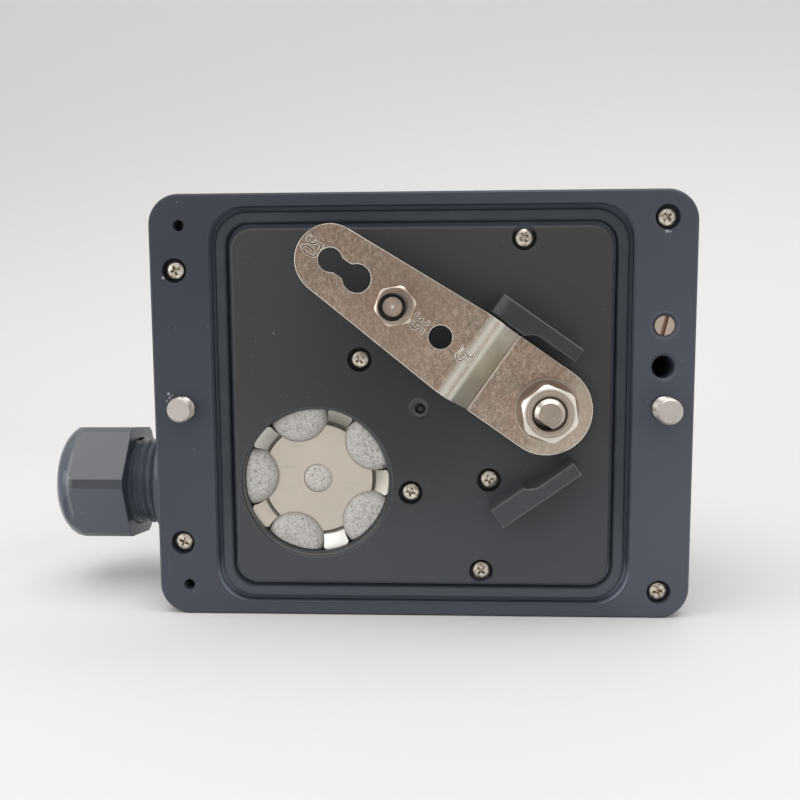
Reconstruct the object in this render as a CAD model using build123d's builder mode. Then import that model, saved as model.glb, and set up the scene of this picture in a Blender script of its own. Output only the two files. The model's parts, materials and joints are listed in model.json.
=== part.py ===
"""Small valve positioner with a travel pick-up lever, in millimetres.

X runs to the right as seen from the mounting side, Z runs up, and Y runs into the housing.
The origin is on the mounting face, midway between the two captive fastening screws.
"""

from build123d import *
from math import cos, radians, sin, sqrt
import os

os.makedirs("parts", exist_ok=True)

# Clearances
slip_gap = 0.03
running_gap = 0.08
seat_gap = 0.3
edge_break = 0.4

# Base plate, the metal flange that faces the actuator, drawn outwards from the platform
flange_side_w = 11.8
flange_top_w = 2.5
plate_t = 10.0
plate_corner_r = 6.0
ledge_side_w = 1.7
ledge_top_w = 4.0
plate_opening_r = 4.0
locating_hole_out = 5.8
locating_hole_down = 6.1
locating_hole_r = 1.1
locating_hole_depth = 5.0

# Mounting seal and the groove that it lies in
groove_band_w = 4.2
groove_corner_r = 7.0
groove_depth = 3.0
seal_w = 2.4
seal_proud = 2.1
seal_round = 0.7

# Mechanism cover, the moulded platform inside the groove
platform_w = 74.0
platform_h = 70.6
platform_t = 7.0
platform_corner_r = 4.2
platform_edge = 0.5
gate_r = 1.9
gate_dish_depth = 0.3
gate_ring_r = 1.05
gate_ring_depth = 1.2
gate_pip_r = 0.45

# Pick-up shaft, its bush and its seal
shaft_in = 12.6
shaft_r = 4.0
shaft_end_r = 3.0
shaft_end_h = 9.0
shaft_end_chamfer = 0.9
shaft_flat = 2.0
shaft_tail_r = 2.5
shaft_tail_len = 3.2
bush_r = 6.0
bush_len = 11.0
shaft_seal_t = 2.2
shaft_lip_t = 0.8
shaft_lip_gap = 0.3
boss_r = 8.5

# Pick-up lever, measured along its own axis from the shaft
lever_angle = 144.78
lever_t = 1.5
lever_lift = 1.0
lever_raise = 5.5
lever_half_w = 8.8
lever_parallel_len = 19.5
lever_tip_r = 6.7
lever_reach = 50.0
bend_start = 12.7
bend_end = 17.8
bend_r = 3.4
bend_root_r = 1.05
hole_25_at = 25.0
lever_hole_r = 2.2
pin_at = 35.0
pin_play = 0.15
keyhole_end_r = 2.25
keyhole_wide_at = 44.0
keyhole_wide_r = 2.65
keyhole_waist = 3.1
keyhole_fillet = 0.9

# Hexagon nuts and collars: where their turned corners start on the flats, and how they slope
hexagon_corner_share = 0.553
hexagon_face_share = 0.97
hexagon_corner_slope = 0.577

# Nut and disc spring that clamp the lever
nut_width = 10.0
nut_t = 5.0
nut_corner_angle = 38.4
nut_bore_chamfer = 0.35
disc_spring_r = 6.25
disc_spring_t = 0.5
disc_spring_h = 0.8

# Follower pin
pin_collar_width = 7.0
pin_collar_t = 2.5
pin_collar_angle = 9.6
pin_core_r = 1.95
pin_core_len = 8.5
pin_sleeve_r = 2.45
pin_sleeve_len = 10.3
pin_thread_r = 2.0
pin_nut_t = 3.2
pin_thread_past_nut = 0.4

# Stop ribs on the platform, in the lever's own directions
rib_h = 6.3
rib_near = 1.6
rib_far = 19.8
rib_outer = 13.4
rib_inner_wide = 9.15
rib_inner_narrow = 10.6
rib_step_start = 9.2
rib_step_end = 12.1
rib_edge = 0.3

# Vent with its porous disc and star spring washer
vent_in = 16.2
vent_up = 20.4
vent_r = 15.0
vent_depth = 6.0
vent_step_depth = 2.2
vent_seat_r = 14.7
vent_edge = 0.3
vent_hole_r = 4.0
filter_r = 14.4
filter_t = 2.5
pillow_rise = 1.9
pillow_round = 0.8
washer_t = 0.4
washer_flat_r = 11.9
washer_rim_r = 14.6
washer_rim_rise = 1.6
washer_centre_r = 3.0
washer_lobe_r = 6.1
washer_lobe_at = 14.0
washer_lobes = 5
washer_tab_angle = -2.5

# Small recessed screws
small_screw_r = 1.25
small_head_r = 1.8
small_head_t = 1.6
small_head_sink = 0.7
small_recess_r = 2.4
base_screw_depth = 15.0
left_screw_out = 6.9
left_screw_down = 14.75
right_screw_out = 5.9
right_screw_down = 5.3
upper_fixing_x = 20.0
upper_fixing_down = 2.3
lower_fixing_x = 12.0
lower_fixing_up = 2.6
module_screw_depth = 13.0

# Air passage in the mounting face, and the slotted plug above it
air_out = 5.8
air_z = 8.1
air_r = 2.25
air_chamfer = 0.5
plug_z = 16.1
plug_r = 1.9
plug_chamfer = 0.6
plug_len = 6.0
plug_sink = 0.3
plug_slot_w = 0.7
plug_slot_depth = 0.8
plug_slot_angle = 76.0

# Captive fastening screws
fastening_out = 6.1
fastening_r = 2.5
fastening_shank_r = 2.1
fastening_thread_under = 0.1
fastening_len = 30.0
fastening_chamfer = 0.45
fastening_head_r = 3.85
fastening_head_t = 5.0
fastening_socket = 4.0
fastening_socket_depth = 2.5
left_proud = 2.7
right_proud = 6.8
retainer_t = 1.0
retainer_r = 3.8

# Housing shell between the base plate and the front cover
gasket_t = 0.8
gasket_inset = 0.3
shell_inset = 0.3
shell_front = 38.0
shell_wall = 3.0
shell_port_wall = 16.7
shell_cavity_r = 3.0
fastening_seat = 22.0
fastening_recess_r = 4.1
left_boss_r = 5.3
base_boss_r = 3.5
cover_screw_in = 7.0
cover_screw_down = 8.0
cover_screw_r = 2.0
cover_screw_head_r = 3.5
cover_screw_head_t = 3.5
cover_screw_recess_r = 3.8
cover_screw_recess = 4.2
cover_screw_depth = 29.0
cover_boss_r = 4.5

# Air ports in the right wall, G1/4
port_z = 15.0
port_depth_y = 24.0
port_r = 5.72
port_len = 12.0
port_cross_r = 2.0
strainer_r = 4.2
strainer_t = 1.5
strainer_sink = 0.3

# Cable gland, M20, in the left wall
gland_y = 24.0
gland_z = -19.3
gland_thread_r = 10.0
gland_thread_len = 8.0
gland_boss_r = 13.0
gland_width = 24.0
gland_turn = 7.5
gland_corner_ratio = 1.11
gland_collar_t = 5.0
gland_neck_r = 9.6
gland_neck_len = 8.3
gland_bore_r = 6.0
gland_insert_r = 7.8
gland_insert_len = 7.0
gland_cap_gap = 6.3
gland_cap_flat_len = 11.2
gland_cap_shoulder = 1.0
gland_cap_dome_r = 11.8
gland_cap_dome_len = 4.1
gland_cap_mouth_r = 6.4
gland_cap_travel = 4.5
gland_claw_t = 3.0
gland_claw_wall = 2.2
gland_claw_slots = 6
gland_claw_slot_w = 1.2

# Front cover and window
cover_front = 50.0
cover_wall = 2.5
cover_edge_r = 3.0
cover_screw_web = 0.7
cover_side_wall = 5.0
window_top_down = 19.0
window_w = 52.0
window_h = 30.0
window_r = 3.0
window_flange = 2.0
window_flange_t = 1.6
window_sink = 0.3

# Parts inside
board_gap_left = 8.7
board_gap_right = 1.6
board_gap_top = 1.7
board_back = 26.0
board_t = 1.6
board_r = 2.0
spacer_r = 2.5
spacer_pin_r = 1.4
spacer_in = 2.7
spacer_down = 3.0
module_left_in = 21.0
module_right_in = 20.0
module_up = 14.3
module_relay_gap = 1.5
module_screw_in = 4.1
module_screw_down = 3.8
module_low_screw_in = 14.0
module_low_screw_up = 4.2
module_right_screw_in = 3.5
module_right_screw_up = 6.8
module_depth = 14.0
module_edge_r = 1.5
coil_r = 8.0
coil_h = 4.0
relay_w = 28.0
relay_h = 15.0
relay_down = 5.3
relay_depth = 12.0
relay_dome_r = 5.5
relay_dome_h = 3.0
holder_disc_r = 11.0
holder_disc_t = 1.5
holder_cup_r = 6.0
holder_gap = 0.2
magnet_r = 4.0
magnet_t = 2.7
spring_wire_r = 0.5
spring_turns = 4
spring_r = 9.6
pillar_r = 2.0
pillar_z = 13.5
sensor_w = 8.0
sensor_t = 1.2
sensor_chip = 4.0
sensor_chip_t = 1.0
sensor_gap = 0.4
terminal_in = 6.5
terminal_up = 5.0
terminal_w = 9.0
terminal_h = 30.0
terminal_depth = 9.0
terminal_poles = 6
terminal_gap = 1.0
terminal_well_r = 1.7
display_gap = 1.0
display_bezel = 3.0
display_sink = 0.6

# Values worked out from the ones above
groove_w = platform_w + 2 * groove_band_w
groove_h = platform_h + 2 * groove_band_w
plate_w = groove_w + 2 * flange_side_w
plate_h = groove_h + 2 * flange_top_w
plate_opening_w = platform_w - 2 * ledge_side_w
plate_opening_h = platform_h - 2 * ledge_top_w
shaft_x = platform_w / 2 - shaft_in
vent_x = -platform_w / 2 + vent_in
vent_z = -platform_h / 2 + vent_up
locating_hole_x = -groove_w / 2 - locating_hole_out
locating_hole_z = plate_h / 2 - locating_hole_down
left_screw_x = -groove_w / 2 - left_screw_out
left_screw_z = plate_h / 2 - left_screw_down
right_screw_x = groove_w / 2 + right_screw_out
right_screw_z = plate_h / 2 - right_screw_down
base_screw_points = [
    (left_screw_x, left_screw_z),
    (left_screw_x, -left_screw_z),
    (right_screw_x, right_screw_z),
    (right_screw_x, -right_screw_z),
]
cover_fixing_points = [
    (upper_fixing_x, platform_h / 2 - upper_fixing_down),
    (lower_fixing_x, -platform_h / 2 + lower_fixing_up),
]
air_x = groove_w / 2 + air_out
fastening_x = groove_w / 2 + fastening_out
cover_w = platform_w - 2 * slip_gap
cover_h = platform_h - 2 * slip_gap
cover_back = platform_t
shell_back = plate_t + gasket_t
cover_rear = shell_front + gasket_t
lever_top_in = lever_lift + lever_t
lever_top_out = lever_top_in + lever_raise
shell_w = plate_w - 2 * shell_inset
shell_h = plate_h - 2 * shell_inset
shell_corner_r = plate_corner_r - shell_inset
wall_x = shell_w / 2
cover_screw_x = plate_w / 2 - cover_screw_in
cover_screw_z = plate_h / 2 - cover_screw_down
cover_screw_points = [
    (side * cover_screw_x, level * cover_screw_z) for side in (-1, 1) for level in (-1, 1)
]
cavity_left = -wall_x + shell_wall
cavity_right = wall_x - shell_port_wall
cover_cavity_w = 2 * (cover_screw_x - cover_screw_recess_r - cover_screw_web)
cover_cavity_h = plate_h - 2 * cover_side_wall
board_left = cavity_left + board_gap_left
board_right = cavity_right - board_gap_right
board_top = shell_h / 2 - shell_wall - board_gap_top
relay_z = platform_h / 2 - relay_down - relay_h / 2
module_left = -platform_w / 2 + module_left_in
module_right = platform_w / 2 - module_right_in
module_bottom = -platform_h / 2 + module_up
module_top = relay_z - relay_h / 2 - module_relay_gap
module_screw_points = [
    (module_left + module_screw_in, module_top - module_screw_down),
    (module_left + module_low_screw_in, module_bottom + module_low_screw_up),
    (module_right - module_right_screw_in, module_bottom + module_right_screw_up),
]
terminal_x = board_left + terminal_in
display_left = terminal_x + terminal_w / 2 + terminal_gap
window_x = display_left - display_gap + window_w / 2
window_z = plate_h / 2 - window_top_down - window_h / 2
collar_end = -wall_x - gland_collar_t
gland_neck_end = collar_end - gland_neck_len
gland_cap_start = collar_end - gland_cap_gap
gland_cap_flat_end = gland_cap_start - gland_cap_flat_len
gland_cap_dome = gland_cap_flat_end - gland_cap_shoulder
gland_cap_tip = gland_cap_dome - gland_cap_dome_len
seal_start = shaft_lip_t
bush_start = seal_start + shaft_seal_t
bush_end = bush_start + bush_len
spring_pitch = (bush_end - cover_back - 2 * spring_wire_r - 2 * holder_gap) / spring_turns
holder_start = bush_end + holder_gap
holder_end = bush_end + shaft_tail_len + magnet_t + holder_gap
sensor_back = holder_end + sensor_gap + sensor_chip_t
washer_face = vent_depth - filter_t
washer_lobe_angle = washer_tab_angle + 180 / washer_lobes
lever_dir = (cos(radians(lever_angle)), 0, sin(radians(lever_angle)))
lever_side = (sin(radians(lever_angle)), 0, -cos(radians(lever_angle)))


def inward(depth):
    """Sketch plane that faces out of the mounting side, at a depth into the housing."""
    return Plane.XZ.offset(-depth)


def lever_plane(height):
    """Plane over the platform with x along the resting lever, at a height above the face."""
    return Plane(origin=(shaft_x, -height, 0), x_dir=lever_dir, z_dir=(0, -1, 0))


def turned_plane(x, z):
    """Half plane through an axis along Y: x is the radius, y is the height out of the face."""
    return Plane(origin=(x, 0, z), x_dir=(1, 0, 0), z_dir=(0, 0, 1)).rotated((180, 0, 0))


def shaft_line(x, z):
    """Axis along Y through a point of the mounting face."""
    return Axis((x, 0, z), (0, -1, 0))


def turned(x, z, profile):
    """Solid of revolution about an axis along Y, from (radius, height) points."""
    with BuildPart() as body:
        with BuildSketch(turned_plane(x, z)):
            with BuildLine():
                Polyline(*profile, close=True)
            make_face()
        revolve(axis=shaft_line(x, z))
    return body.part


def hexagon(x, z, width, corner_angle, bottom, top, crown=False, foot=False):
    """Hexagon bar with turned corners between two heights over the mounting face."""
    corner_r = width * hexagon_corner_share
    face_r = width / 2 * hexagon_face_share
    drop = (corner_r - face_r) * hexagon_corner_slope
    profile = [(0, bottom), (corner_r, bottom), (corner_r, top), (0, top)]
    if foot:
        profile[1:2] = [(face_r, bottom), (corner_r, bottom + drop)]
    if crown:
        profile[-2:-1] = [(corner_r, top - drop), (face_r, top)]
    round_bar = turned(x, z, profile)
    with BuildPart() as bar:
        with BuildSketch(inward(-bottom)):
            with Locations((x, z)):
                RegularPolygon(width / sqrt(3), 6, rotation=corner_angle)
        extrude(amount=top - bottom)
        add(round_bar, mode=Mode.INTERSECT)
    return bar.part


def small_screw(x, z, tip_depth):
    """Cheese-head screw sunk under the mounting face."""
    head_top = -small_head_sink
    head_bottom = head_top - small_head_t
    profile = [
        (0, head_top),
        (small_head_r - edge_break, head_top),
        (small_head_r, head_top - edge_break),
        (small_head_r, head_bottom),
        (small_screw_r, head_bottom),
        (small_screw_r, -tip_depth + edge_break),
        (small_screw_r - edge_break, -tip_depth),
        (0, -tip_depth),
    ]
    return turned(x, z, profile)


def screw_recesses(points, depth):
    """Stepped screw holes from the mounting face, cut inside a part under construction."""
    head_seat = small_head_sink + small_head_t
    with BuildSketch(inward(0)) as recesses:
        with Locations(*points):
            Circle(small_recess_r)
    extrude(recesses.sketch, amount=-head_seat, mode=Mode.SUBTRACT)
    with BuildSketch(inward(head_seat)) as holes:
        with Locations(*points):
            Circle(small_screw_r + slip_gap)
    extrude(holes.sketch, amount=-(depth - head_seat), mode=Mode.SUBTRACT)


def shell_face(depth, inset=0.0):
    """Walls and bosses of the shell in section at a depth, drawn in by an inset."""
    with BuildSketch(inward(depth)) as face:
        RectangleRounded(shell_w - 2 * inset, shell_h - 2 * inset, shell_corner_r - inset)
        with Locations(((cavity_left + cavity_right) / 2, 0)):
            RectangleRounded(
                cavity_right - cavity_left + 2 * inset,
                shell_h - 2 * shell_wall + 2 * inset,
                shell_cavity_r + inset,
                mode=Mode.SUBTRACT,
            )
        with Locations((-fastening_x, 0)):
            Circle(left_boss_r - inset)
        with Locations((left_screw_x, left_screw_z), (left_screw_x, -left_screw_z)):
            Circle(base_boss_r - inset)
        with Locations((-cover_screw_x, cover_screw_z), (-cover_screw_x, -cover_screw_z)):
            Circle(cover_boss_r - inset)
    return face.sketch


def gasket(depth, bores):
    """Flat gasket on a face of the shell, cut away round each bore, given as (radius, points)."""
    with BuildPart() as sheet:
        extrude(shell_face(depth, gasket_inset), amount=-gasket_t)
        for bore_r, points in bores:
            with BuildSketch(inward(depth)):
                with Locations(*points):
                    Circle(bore_r + running_gap)
            extrude(amount=-gasket_t, mode=Mode.SUBTRACT)
    return sheet.part


def save(part, name):
    """Labels a finished piece and writes it under its own name."""
    part.label = name
    export_step(part, f"parts/{name}.step")


# Base plate
with BuildPart(Plane.XZ) as base_plate:
    with BuildSketch(inward(0)):
        RectangleRounded(plate_w, plate_h, plate_corner_r)
    extrude(amount=-plate_t)
    chamfer(base_plate.faces().sort_by(Axis.Y)[0].edges(), edge_break)
    with BuildSketch(inward(0)):
        RectangleRounded(groove_w, groove_h, groove_corner_r)
    extrude(amount=-groove_depth, mode=Mode.SUBTRACT)
    with BuildSketch(inward(groove_depth)):
        RectangleRounded(platform_w, platform_h, platform_corner_r)
    extrude(amount=-(platform_t - groove_depth), mode=Mode.SUBTRACT)
    with BuildSketch(inward(platform_t)):
        RectangleRounded(plate_opening_w, plate_opening_h, plate_opening_r)
    extrude(amount=-(plate_t - platform_t), mode=Mode.SUBTRACT)
    screw_recesses(base_screw_points, plate_t)
    with Locations(*[(x, z) for x, z in cover_fixing_points]):
        Hole(small_screw_r + slip_gap)
    with Locations((locating_hole_x, locating_hole_z), (locating_hole_x, -locating_hole_z)):
        Hole(locating_hole_r, locating_hole_depth)
    with Locations((-fastening_x, 0), (fastening_x, 0)):
        Hole(fastening_r + running_gap)
    with Locations((air_x, air_z)):
        CounterSinkHole(air_r, air_r + air_chamfer, plate_t, 90)
    with Locations((air_x, plug_z)):
        CounterSinkHole(plug_r + slip_gap, plug_r + slip_gap + plug_chamfer, plate_t, 90)
save(base_plate.part, "base_plate")

# Mounting seal, a rubber ring with a rounded top
with BuildPart() as mounting_seal:
    seal_mid_w = (groove_w + platform_w) / 2
    seal_mid_h = (groove_h + platform_h) / 2
    seal_mid_r = (groove_corner_r + platform_corner_r) / 2
    with BuildSketch(inward(groove_depth)):
        RectangleRounded(seal_mid_w + seal_w, seal_mid_h + seal_w, seal_mid_r + seal_w / 2)
        RectangleRounded(
            seal_mid_w - seal_w,
            seal_mid_h - seal_w,
            seal_mid_r - seal_w / 2,
            mode=Mode.SUBTRACT,
        )
    extrude(amount=seal_proud)
    fillet(mounting_seal.faces().sort_by(Axis.Y)[0].edges(), seal_round)
save(mounting_seal.part, "mounting_seal")

# One stop rib: thick beside the lever's bend and thinner, by a hollow step, beside the nut
with BuildPart() as stop_rib:
    with BuildSketch(lever_plane(0)):
        with BuildLine():
            Line((rib_near, -rib_inner_narrow), (rib_near, -rib_outer))
            Line((rib_near, -rib_outer), (rib_far, -rib_outer))
            Line((rib_far, -rib_outer), (rib_far, -rib_inner_wide))
            Line((rib_far, -rib_inner_wide), (rib_step_end, -rib_inner_wide))
            TangentArc(
                (rib_step_start, -rib_inner_narrow), (rib_step_end, -rib_inner_wide), tangent=(1, 0)
            )
            Line((rib_step_start, -rib_inner_narrow), (rib_near, -rib_inner_narrow))
        make_face()
    extrude(amount=rib_h)
    chamfer(stop_rib.faces().sort_by(Axis.Y)[0].edges(), rib_edge)

# Mechanism cover: the moulded platform with ribs, shaft boss, vent recess and gate mark
with BuildPart() as mechanism_cover:
    with BuildSketch(inward(0)):
        RectangleRounded(cover_w, cover_h, platform_corner_r)
    extrude(amount=-platform_t)
    fillet(mechanism_cover.faces().sort_by(Axis.Y)[0].edges(), platform_edge)
    with BuildSketch(inward(platform_t)):
        with Locations((shaft_x, 0)):
            Circle(boss_r)
    extrude(amount=-(bush_end - platform_t))
    with BuildSketch(inward(platform_t)):
        with Locations((shaft_x, pillar_z), (shaft_x, -pillar_z)):
            Circle(pillar_r)
    extrude(amount=-(sensor_back - platform_t))
    with BuildSketch(inward(0)):
        with Locations((shaft_x, 0)):
            Circle(shaft_r + shaft_lip_gap)
    extrude(amount=-seal_start, mode=Mode.SUBTRACT)
    with BuildSketch(inward(seal_start)):
        with Locations((shaft_x, 0)):
            Circle(bush_r + slip_gap)
    extrude(amount=-(bush_end - seal_start), mode=Mode.SUBTRACT)
    add(
        turned(
            vent_x,
            vent_z,
            [
                (0, 0),
                (vent_r + vent_edge, 0),
                (vent_r, -vent_edge),
                (vent_r, -vent_step_depth),
                (vent_seat_r, -vent_step_depth),
                (vent_seat_r, -vent_depth),
                (0, -vent_depth),
            ],
        ),
        mode=Mode.SUBTRACT,
    )
    with BuildSketch(inward(vent_depth)):
        with Locations((vent_x, vent_z)):
            Circle(vent_hole_r)
    extrude(amount=-(platform_t - vent_depth), mode=Mode.SUBTRACT)
    screw_recesses(cover_fixing_points + module_screw_points, platform_t)
    with BuildSketch(inward(0)):
        Circle(gate_r)
    extrude(amount=-gate_dish_depth, mode=Mode.SUBTRACT)
    with BuildSketch(inward(gate_dish_depth)):
        Circle(gate_ring_r)
        Circle(gate_pip_r, mode=Mode.SUBTRACT)
    extrude(amount=-gate_ring_depth, mode=Mode.SUBTRACT)
    add(stop_rib.part)
    mirror(stop_rib.part, about=Plane.XY)
save(mechanism_cover.part, "mechanism_cover")

# Small screws in the flange and in the platform
with BuildPart() as base_screws:
    for screw_x, screw_z in base_screw_points:
        add(small_screw(screw_x, screw_z, base_screw_depth))
save(base_screws.part, "base_screws")

with BuildPart() as platform_screws:
    for screw_x, screw_z in cover_fixing_points:
        add(small_screw(screw_x, screw_z, plate_t))
    for screw_x, screw_z in module_screw_points:
        add(small_screw(screw_x, screw_z, module_screw_depth))
save(platform_screws.part, "platform_screws")

# Vent filter: a porous disc that swells through the lobes and the hole of its washer
with BuildPart() as vent_filter:
    with BuildSketch(inward(washer_face)):
        with Locations((vent_x, vent_z)):
            with PolarLocations(washer_lobe_at, washer_lobes, start_angle=washer_lobe_angle):
                Circle(washer_lobe_r - running_gap)
            Circle(washer_centre_r - running_gap)
            Circle(filter_r, mode=Mode.INTERSECT)
    extrude(amount=pillow_rise)
    fillet(vent_filter.edges().group_by(Axis.Y)[0], pillow_round)
    with BuildSketch(inward(vent_depth)):
        with Locations((vent_x, vent_z)):
            Circle(filter_r)
    extrude(amount=filter_t)
save(vent_filter.part, "vent_filter")

# Vent spring washer: a dished disc, cut by five round lobes into five tabs with raised rims
with BuildPart() as vent_spring_washer:
    add(
        turned(
            vent_x,
            vent_z,
            [
                (0, -washer_face),
                (washer_flat_r, -washer_face),
                (washer_rim_r, -washer_face + washer_rim_rise),
                (washer_rim_r, -washer_face + washer_rim_rise + washer_t),
                (washer_flat_r, -washer_face + washer_t),
                (0, -washer_face + washer_t),
            ],
        )
    )
    with BuildSketch(inward(washer_face)):
        with Locations((vent_x, vent_z)):
            Circle(washer_centre_r)
            with PolarLocations(washer_lobe_at, washer_lobes, start_angle=washer_lobe_angle):
                Circle(washer_lobe_r)
    extrude(amount=washer_face, mode=Mode.SUBTRACT)
save(vent_spring_washer.part, "vent_spring_washer")

# Slotted plug beside the air passage
with BuildPart() as output_plug:
    with BuildSketch(inward(plug_sink)):
        with Locations((air_x, plug_z)):
            Circle(plug_r)
    extrude(amount=-plug_len)
    with BuildSketch(inward(plug_sink)):
        with Locations((air_x, plug_z)):
            Rectangle(3 * plug_r, plug_slot_w, rotation=plug_slot_angle)
    extrude(amount=-plug_slot_depth, mode=Mode.SUBTRACT)
save(output_plug.part, "output_plug")

# Pick-up shaft with its flatted end
with BuildPart() as pickup_shaft:
    add(
        turned(
            shaft_x,
            0,
            [
                (0, shaft_end_h),
                (shaft_end_r - shaft_end_chamfer, shaft_end_h),
                (shaft_end_r, shaft_end_h - shaft_end_chamfer),
                (shaft_end_r, lever_lift),
                (shaft_r, lever_lift),
                (shaft_r, -bush_end),
                (shaft_tail_r, -bush_end),
                (shaft_tail_r, -bush_end - shaft_tail_len),
                (0, -bush_end - shaft_tail_len),
            ],
        )
    )
    with BuildSketch(lever_plane(lever_lift)):
        with Locations((0, shaft_flat + shaft_end_r)):
            Rectangle(4 * shaft_end_r, 2 * shaft_end_r)
    extrude(amount=shaft_end_h, mode=Mode.SUBTRACT)
save(pickup_shaft.part, "pickup_shaft")

# Shaft seal and bush
seal_profile = [
    (shaft_r + slip_gap, -seal_start),
    (bush_r, -seal_start),
    (bush_r, -bush_start),
    (shaft_r + slip_gap, -bush_start),
]
save(turned(shaft_x, 0, seal_profile), "shaft_seal")
bush_profile = [
    (shaft_r + slip_gap, -bush_start),
    (bush_r, -bush_start),
    (bush_r, -bush_end),
    (shaft_r + slip_gap, -bush_end),
]
save(turned(shaft_x, 0, bush_profile), "shaft_bush")

# Pick-up lever: a plate cranked away from the platform, with its scale of holes
with BuildPart() as pickup_lever:
    with BuildSketch(Plane(origin=(shaft_x, 0, 0), x_dir=lever_dir, z_dir=lever_side)):
        with BuildLine():
            FilletPolyline(
                (-lever_half_w - 1, lever_lift + lever_t / 2),
                (bend_start, lever_lift + lever_t / 2),
                (bend_end, lever_top_out - lever_t / 2),
                (lever_reach + lever_tip_r + 1, lever_top_out - lever_t / 2),
                radius=[bend_root_r, bend_r],
            )
        trace(line_width=lever_t)
    extrude(amount=lever_half_w + 1, both=True)
    with BuildSketch(lever_plane(0)):
        Circle(lever_half_w)
        with Locations((lever_parallel_len, 0)):
            Circle(lever_half_w)
        with Locations((lever_reach, 0)):
            Circle(lever_tip_r)
        make_hull()
    extrude(amount=lever_top_out + 1, mode=Mode.INTERSECT)
    with BuildSketch(lever_plane(0)):
        Circle(shaft_end_r + slip_gap)
        with Locations((0, shaft_flat + slip_gap + shaft_end_r)):
            Rectangle(4 * shaft_end_r, 2 * shaft_end_r, mode=Mode.SUBTRACT)
        with Locations((hole_25_at, 0)):
            Circle(lever_hole_r)
        with Locations((pin_at, 0)):
            Circle(lever_hole_r)
    extrude(amount=lever_top_out + 1, mode=Mode.SUBTRACT)
    with BuildSketch(lever_plane(lever_top_in)) as keyhole:
        with Locations((lever_reach, 0)):
            Circle(keyhole_end_r)
        with Locations((keyhole_wide_at, 0)):
            Circle(keyhole_wide_r)
        with Locations(((lever_reach + keyhole_wide_at) / 2, 0)):
            Rectangle(lever_reach - keyhole_wide_at, keyhole_waist)
        waist_corners = keyhole.vertices().filter_by(
            lambda corner: abs(abs(corner.Y) - keyhole_waist / 2) < 0.001
        )
        fillet(waist_corners, keyhole_fillet)
    extrude(amount=lever_raise + 1, mode=Mode.SUBTRACT)
save(pickup_lever.part, "pickup_lever")

# Disc spring and nut that clamp the lever on the shaft
disc_spring_profile = [
    (shaft_end_r + slip_gap, lever_top_in + disc_spring_h - disc_spring_t),
    (disc_spring_r, lever_top_in),
    (disc_spring_r, lever_top_in + disc_spring_t),
    (shaft_end_r + slip_gap, lever_top_in + disc_spring_h),
]
save(turned(shaft_x, 0, disc_spring_profile), "disc_spring")

nut_bottom = lever_top_in + disc_spring_h
nut_top = nut_bottom + nut_t
nut_bore_r = shaft_end_r + slip_gap
with BuildPart() as lever_nut:
    add(hexagon(shaft_x, 0, nut_width, nut_corner_angle, nut_bottom, nut_top, crown=True))
    add(
        turned(
            shaft_x,
            0,
            [
                (0, nut_top),
                (nut_bore_r + nut_bore_chamfer, nut_top),
                (nut_bore_r, nut_top - nut_bore_chamfer),
                (nut_bore_r, nut_bottom),
                (0, nut_bottom),
            ],
        ),
        mode=Mode.SUBTRACT,
    )
save(lever_nut.part, "lever_nut")

# Follower pin with its hexagon collar, the sleeve over it, and the nut behind the lever
pin_x = shaft_x + (pin_at + pin_play) * lever_dir[0]
pin_z = (pin_at + pin_play) * lever_dir[2]
collar_top = lever_top_out + pin_collar_t
lever_back_out = lever_top_out - lever_t
pin_nut_bottom = lever_back_out - pin_nut_t
with BuildPart() as follower_pin:
    add(
        hexagon(
            pin_x, pin_z, pin_collar_width, pin_collar_angle, lever_top_out, collar_top, crown=True
        )
    )
    add(
        turned(
            pin_x,
            pin_z,
            [
                (0, collar_top + pin_core_len),
                (pin_core_r - edge_break / 2, collar_top + pin_core_len),
                (pin_core_r, collar_top + pin_core_len - edge_break / 2),
                (pin_core_r, collar_top - 1),
                (0, collar_top - 1),
            ],
        )
    )
    add(
        turned(
            pin_x,
            pin_z,
            [
                (0, lever_top_out + 1),
                (pin_thread_r, lever_top_out + 1),
                (pin_thread_r, pin_nut_bottom - pin_thread_past_nut + edge_break),
                (pin_thread_r - edge_break, pin_nut_bottom - pin_thread_past_nut),
                (0, pin_nut_bottom - pin_thread_past_nut),
            ],
        )
    )
save(follower_pin.part, "follower_pin")

sleeve_top = collar_top + pin_sleeve_len
sleeve_profile = [
    (pin_core_r + slip_gap, collar_top),
    (pin_sleeve_r, collar_top),
    (pin_sleeve_r, sleeve_top - edge_break / 2),
    (pin_sleeve_r - edge_break / 2, sleeve_top),
    (pin_core_r + slip_gap, sleeve_top),
]
save(turned(pin_x, pin_z, sleeve_profile), "follower_sleeve")

with BuildPart() as pin_nut:
    add(
        hexagon(
            pin_x,
            pin_z,
            pin_collar_width,
            pin_collar_angle,
            pin_nut_bottom,
            lever_back_out,
            foot=True,
        )
    )
    with BuildSketch(inward(-pin_nut_bottom)):
        with Locations((pin_x, pin_z)):
            Circle(pin_thread_r + slip_gap)
    extrude(amount=pin_nut_t, mode=Mode.SUBTRACT)
save(pin_nut.part, "pin_nut")

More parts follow.
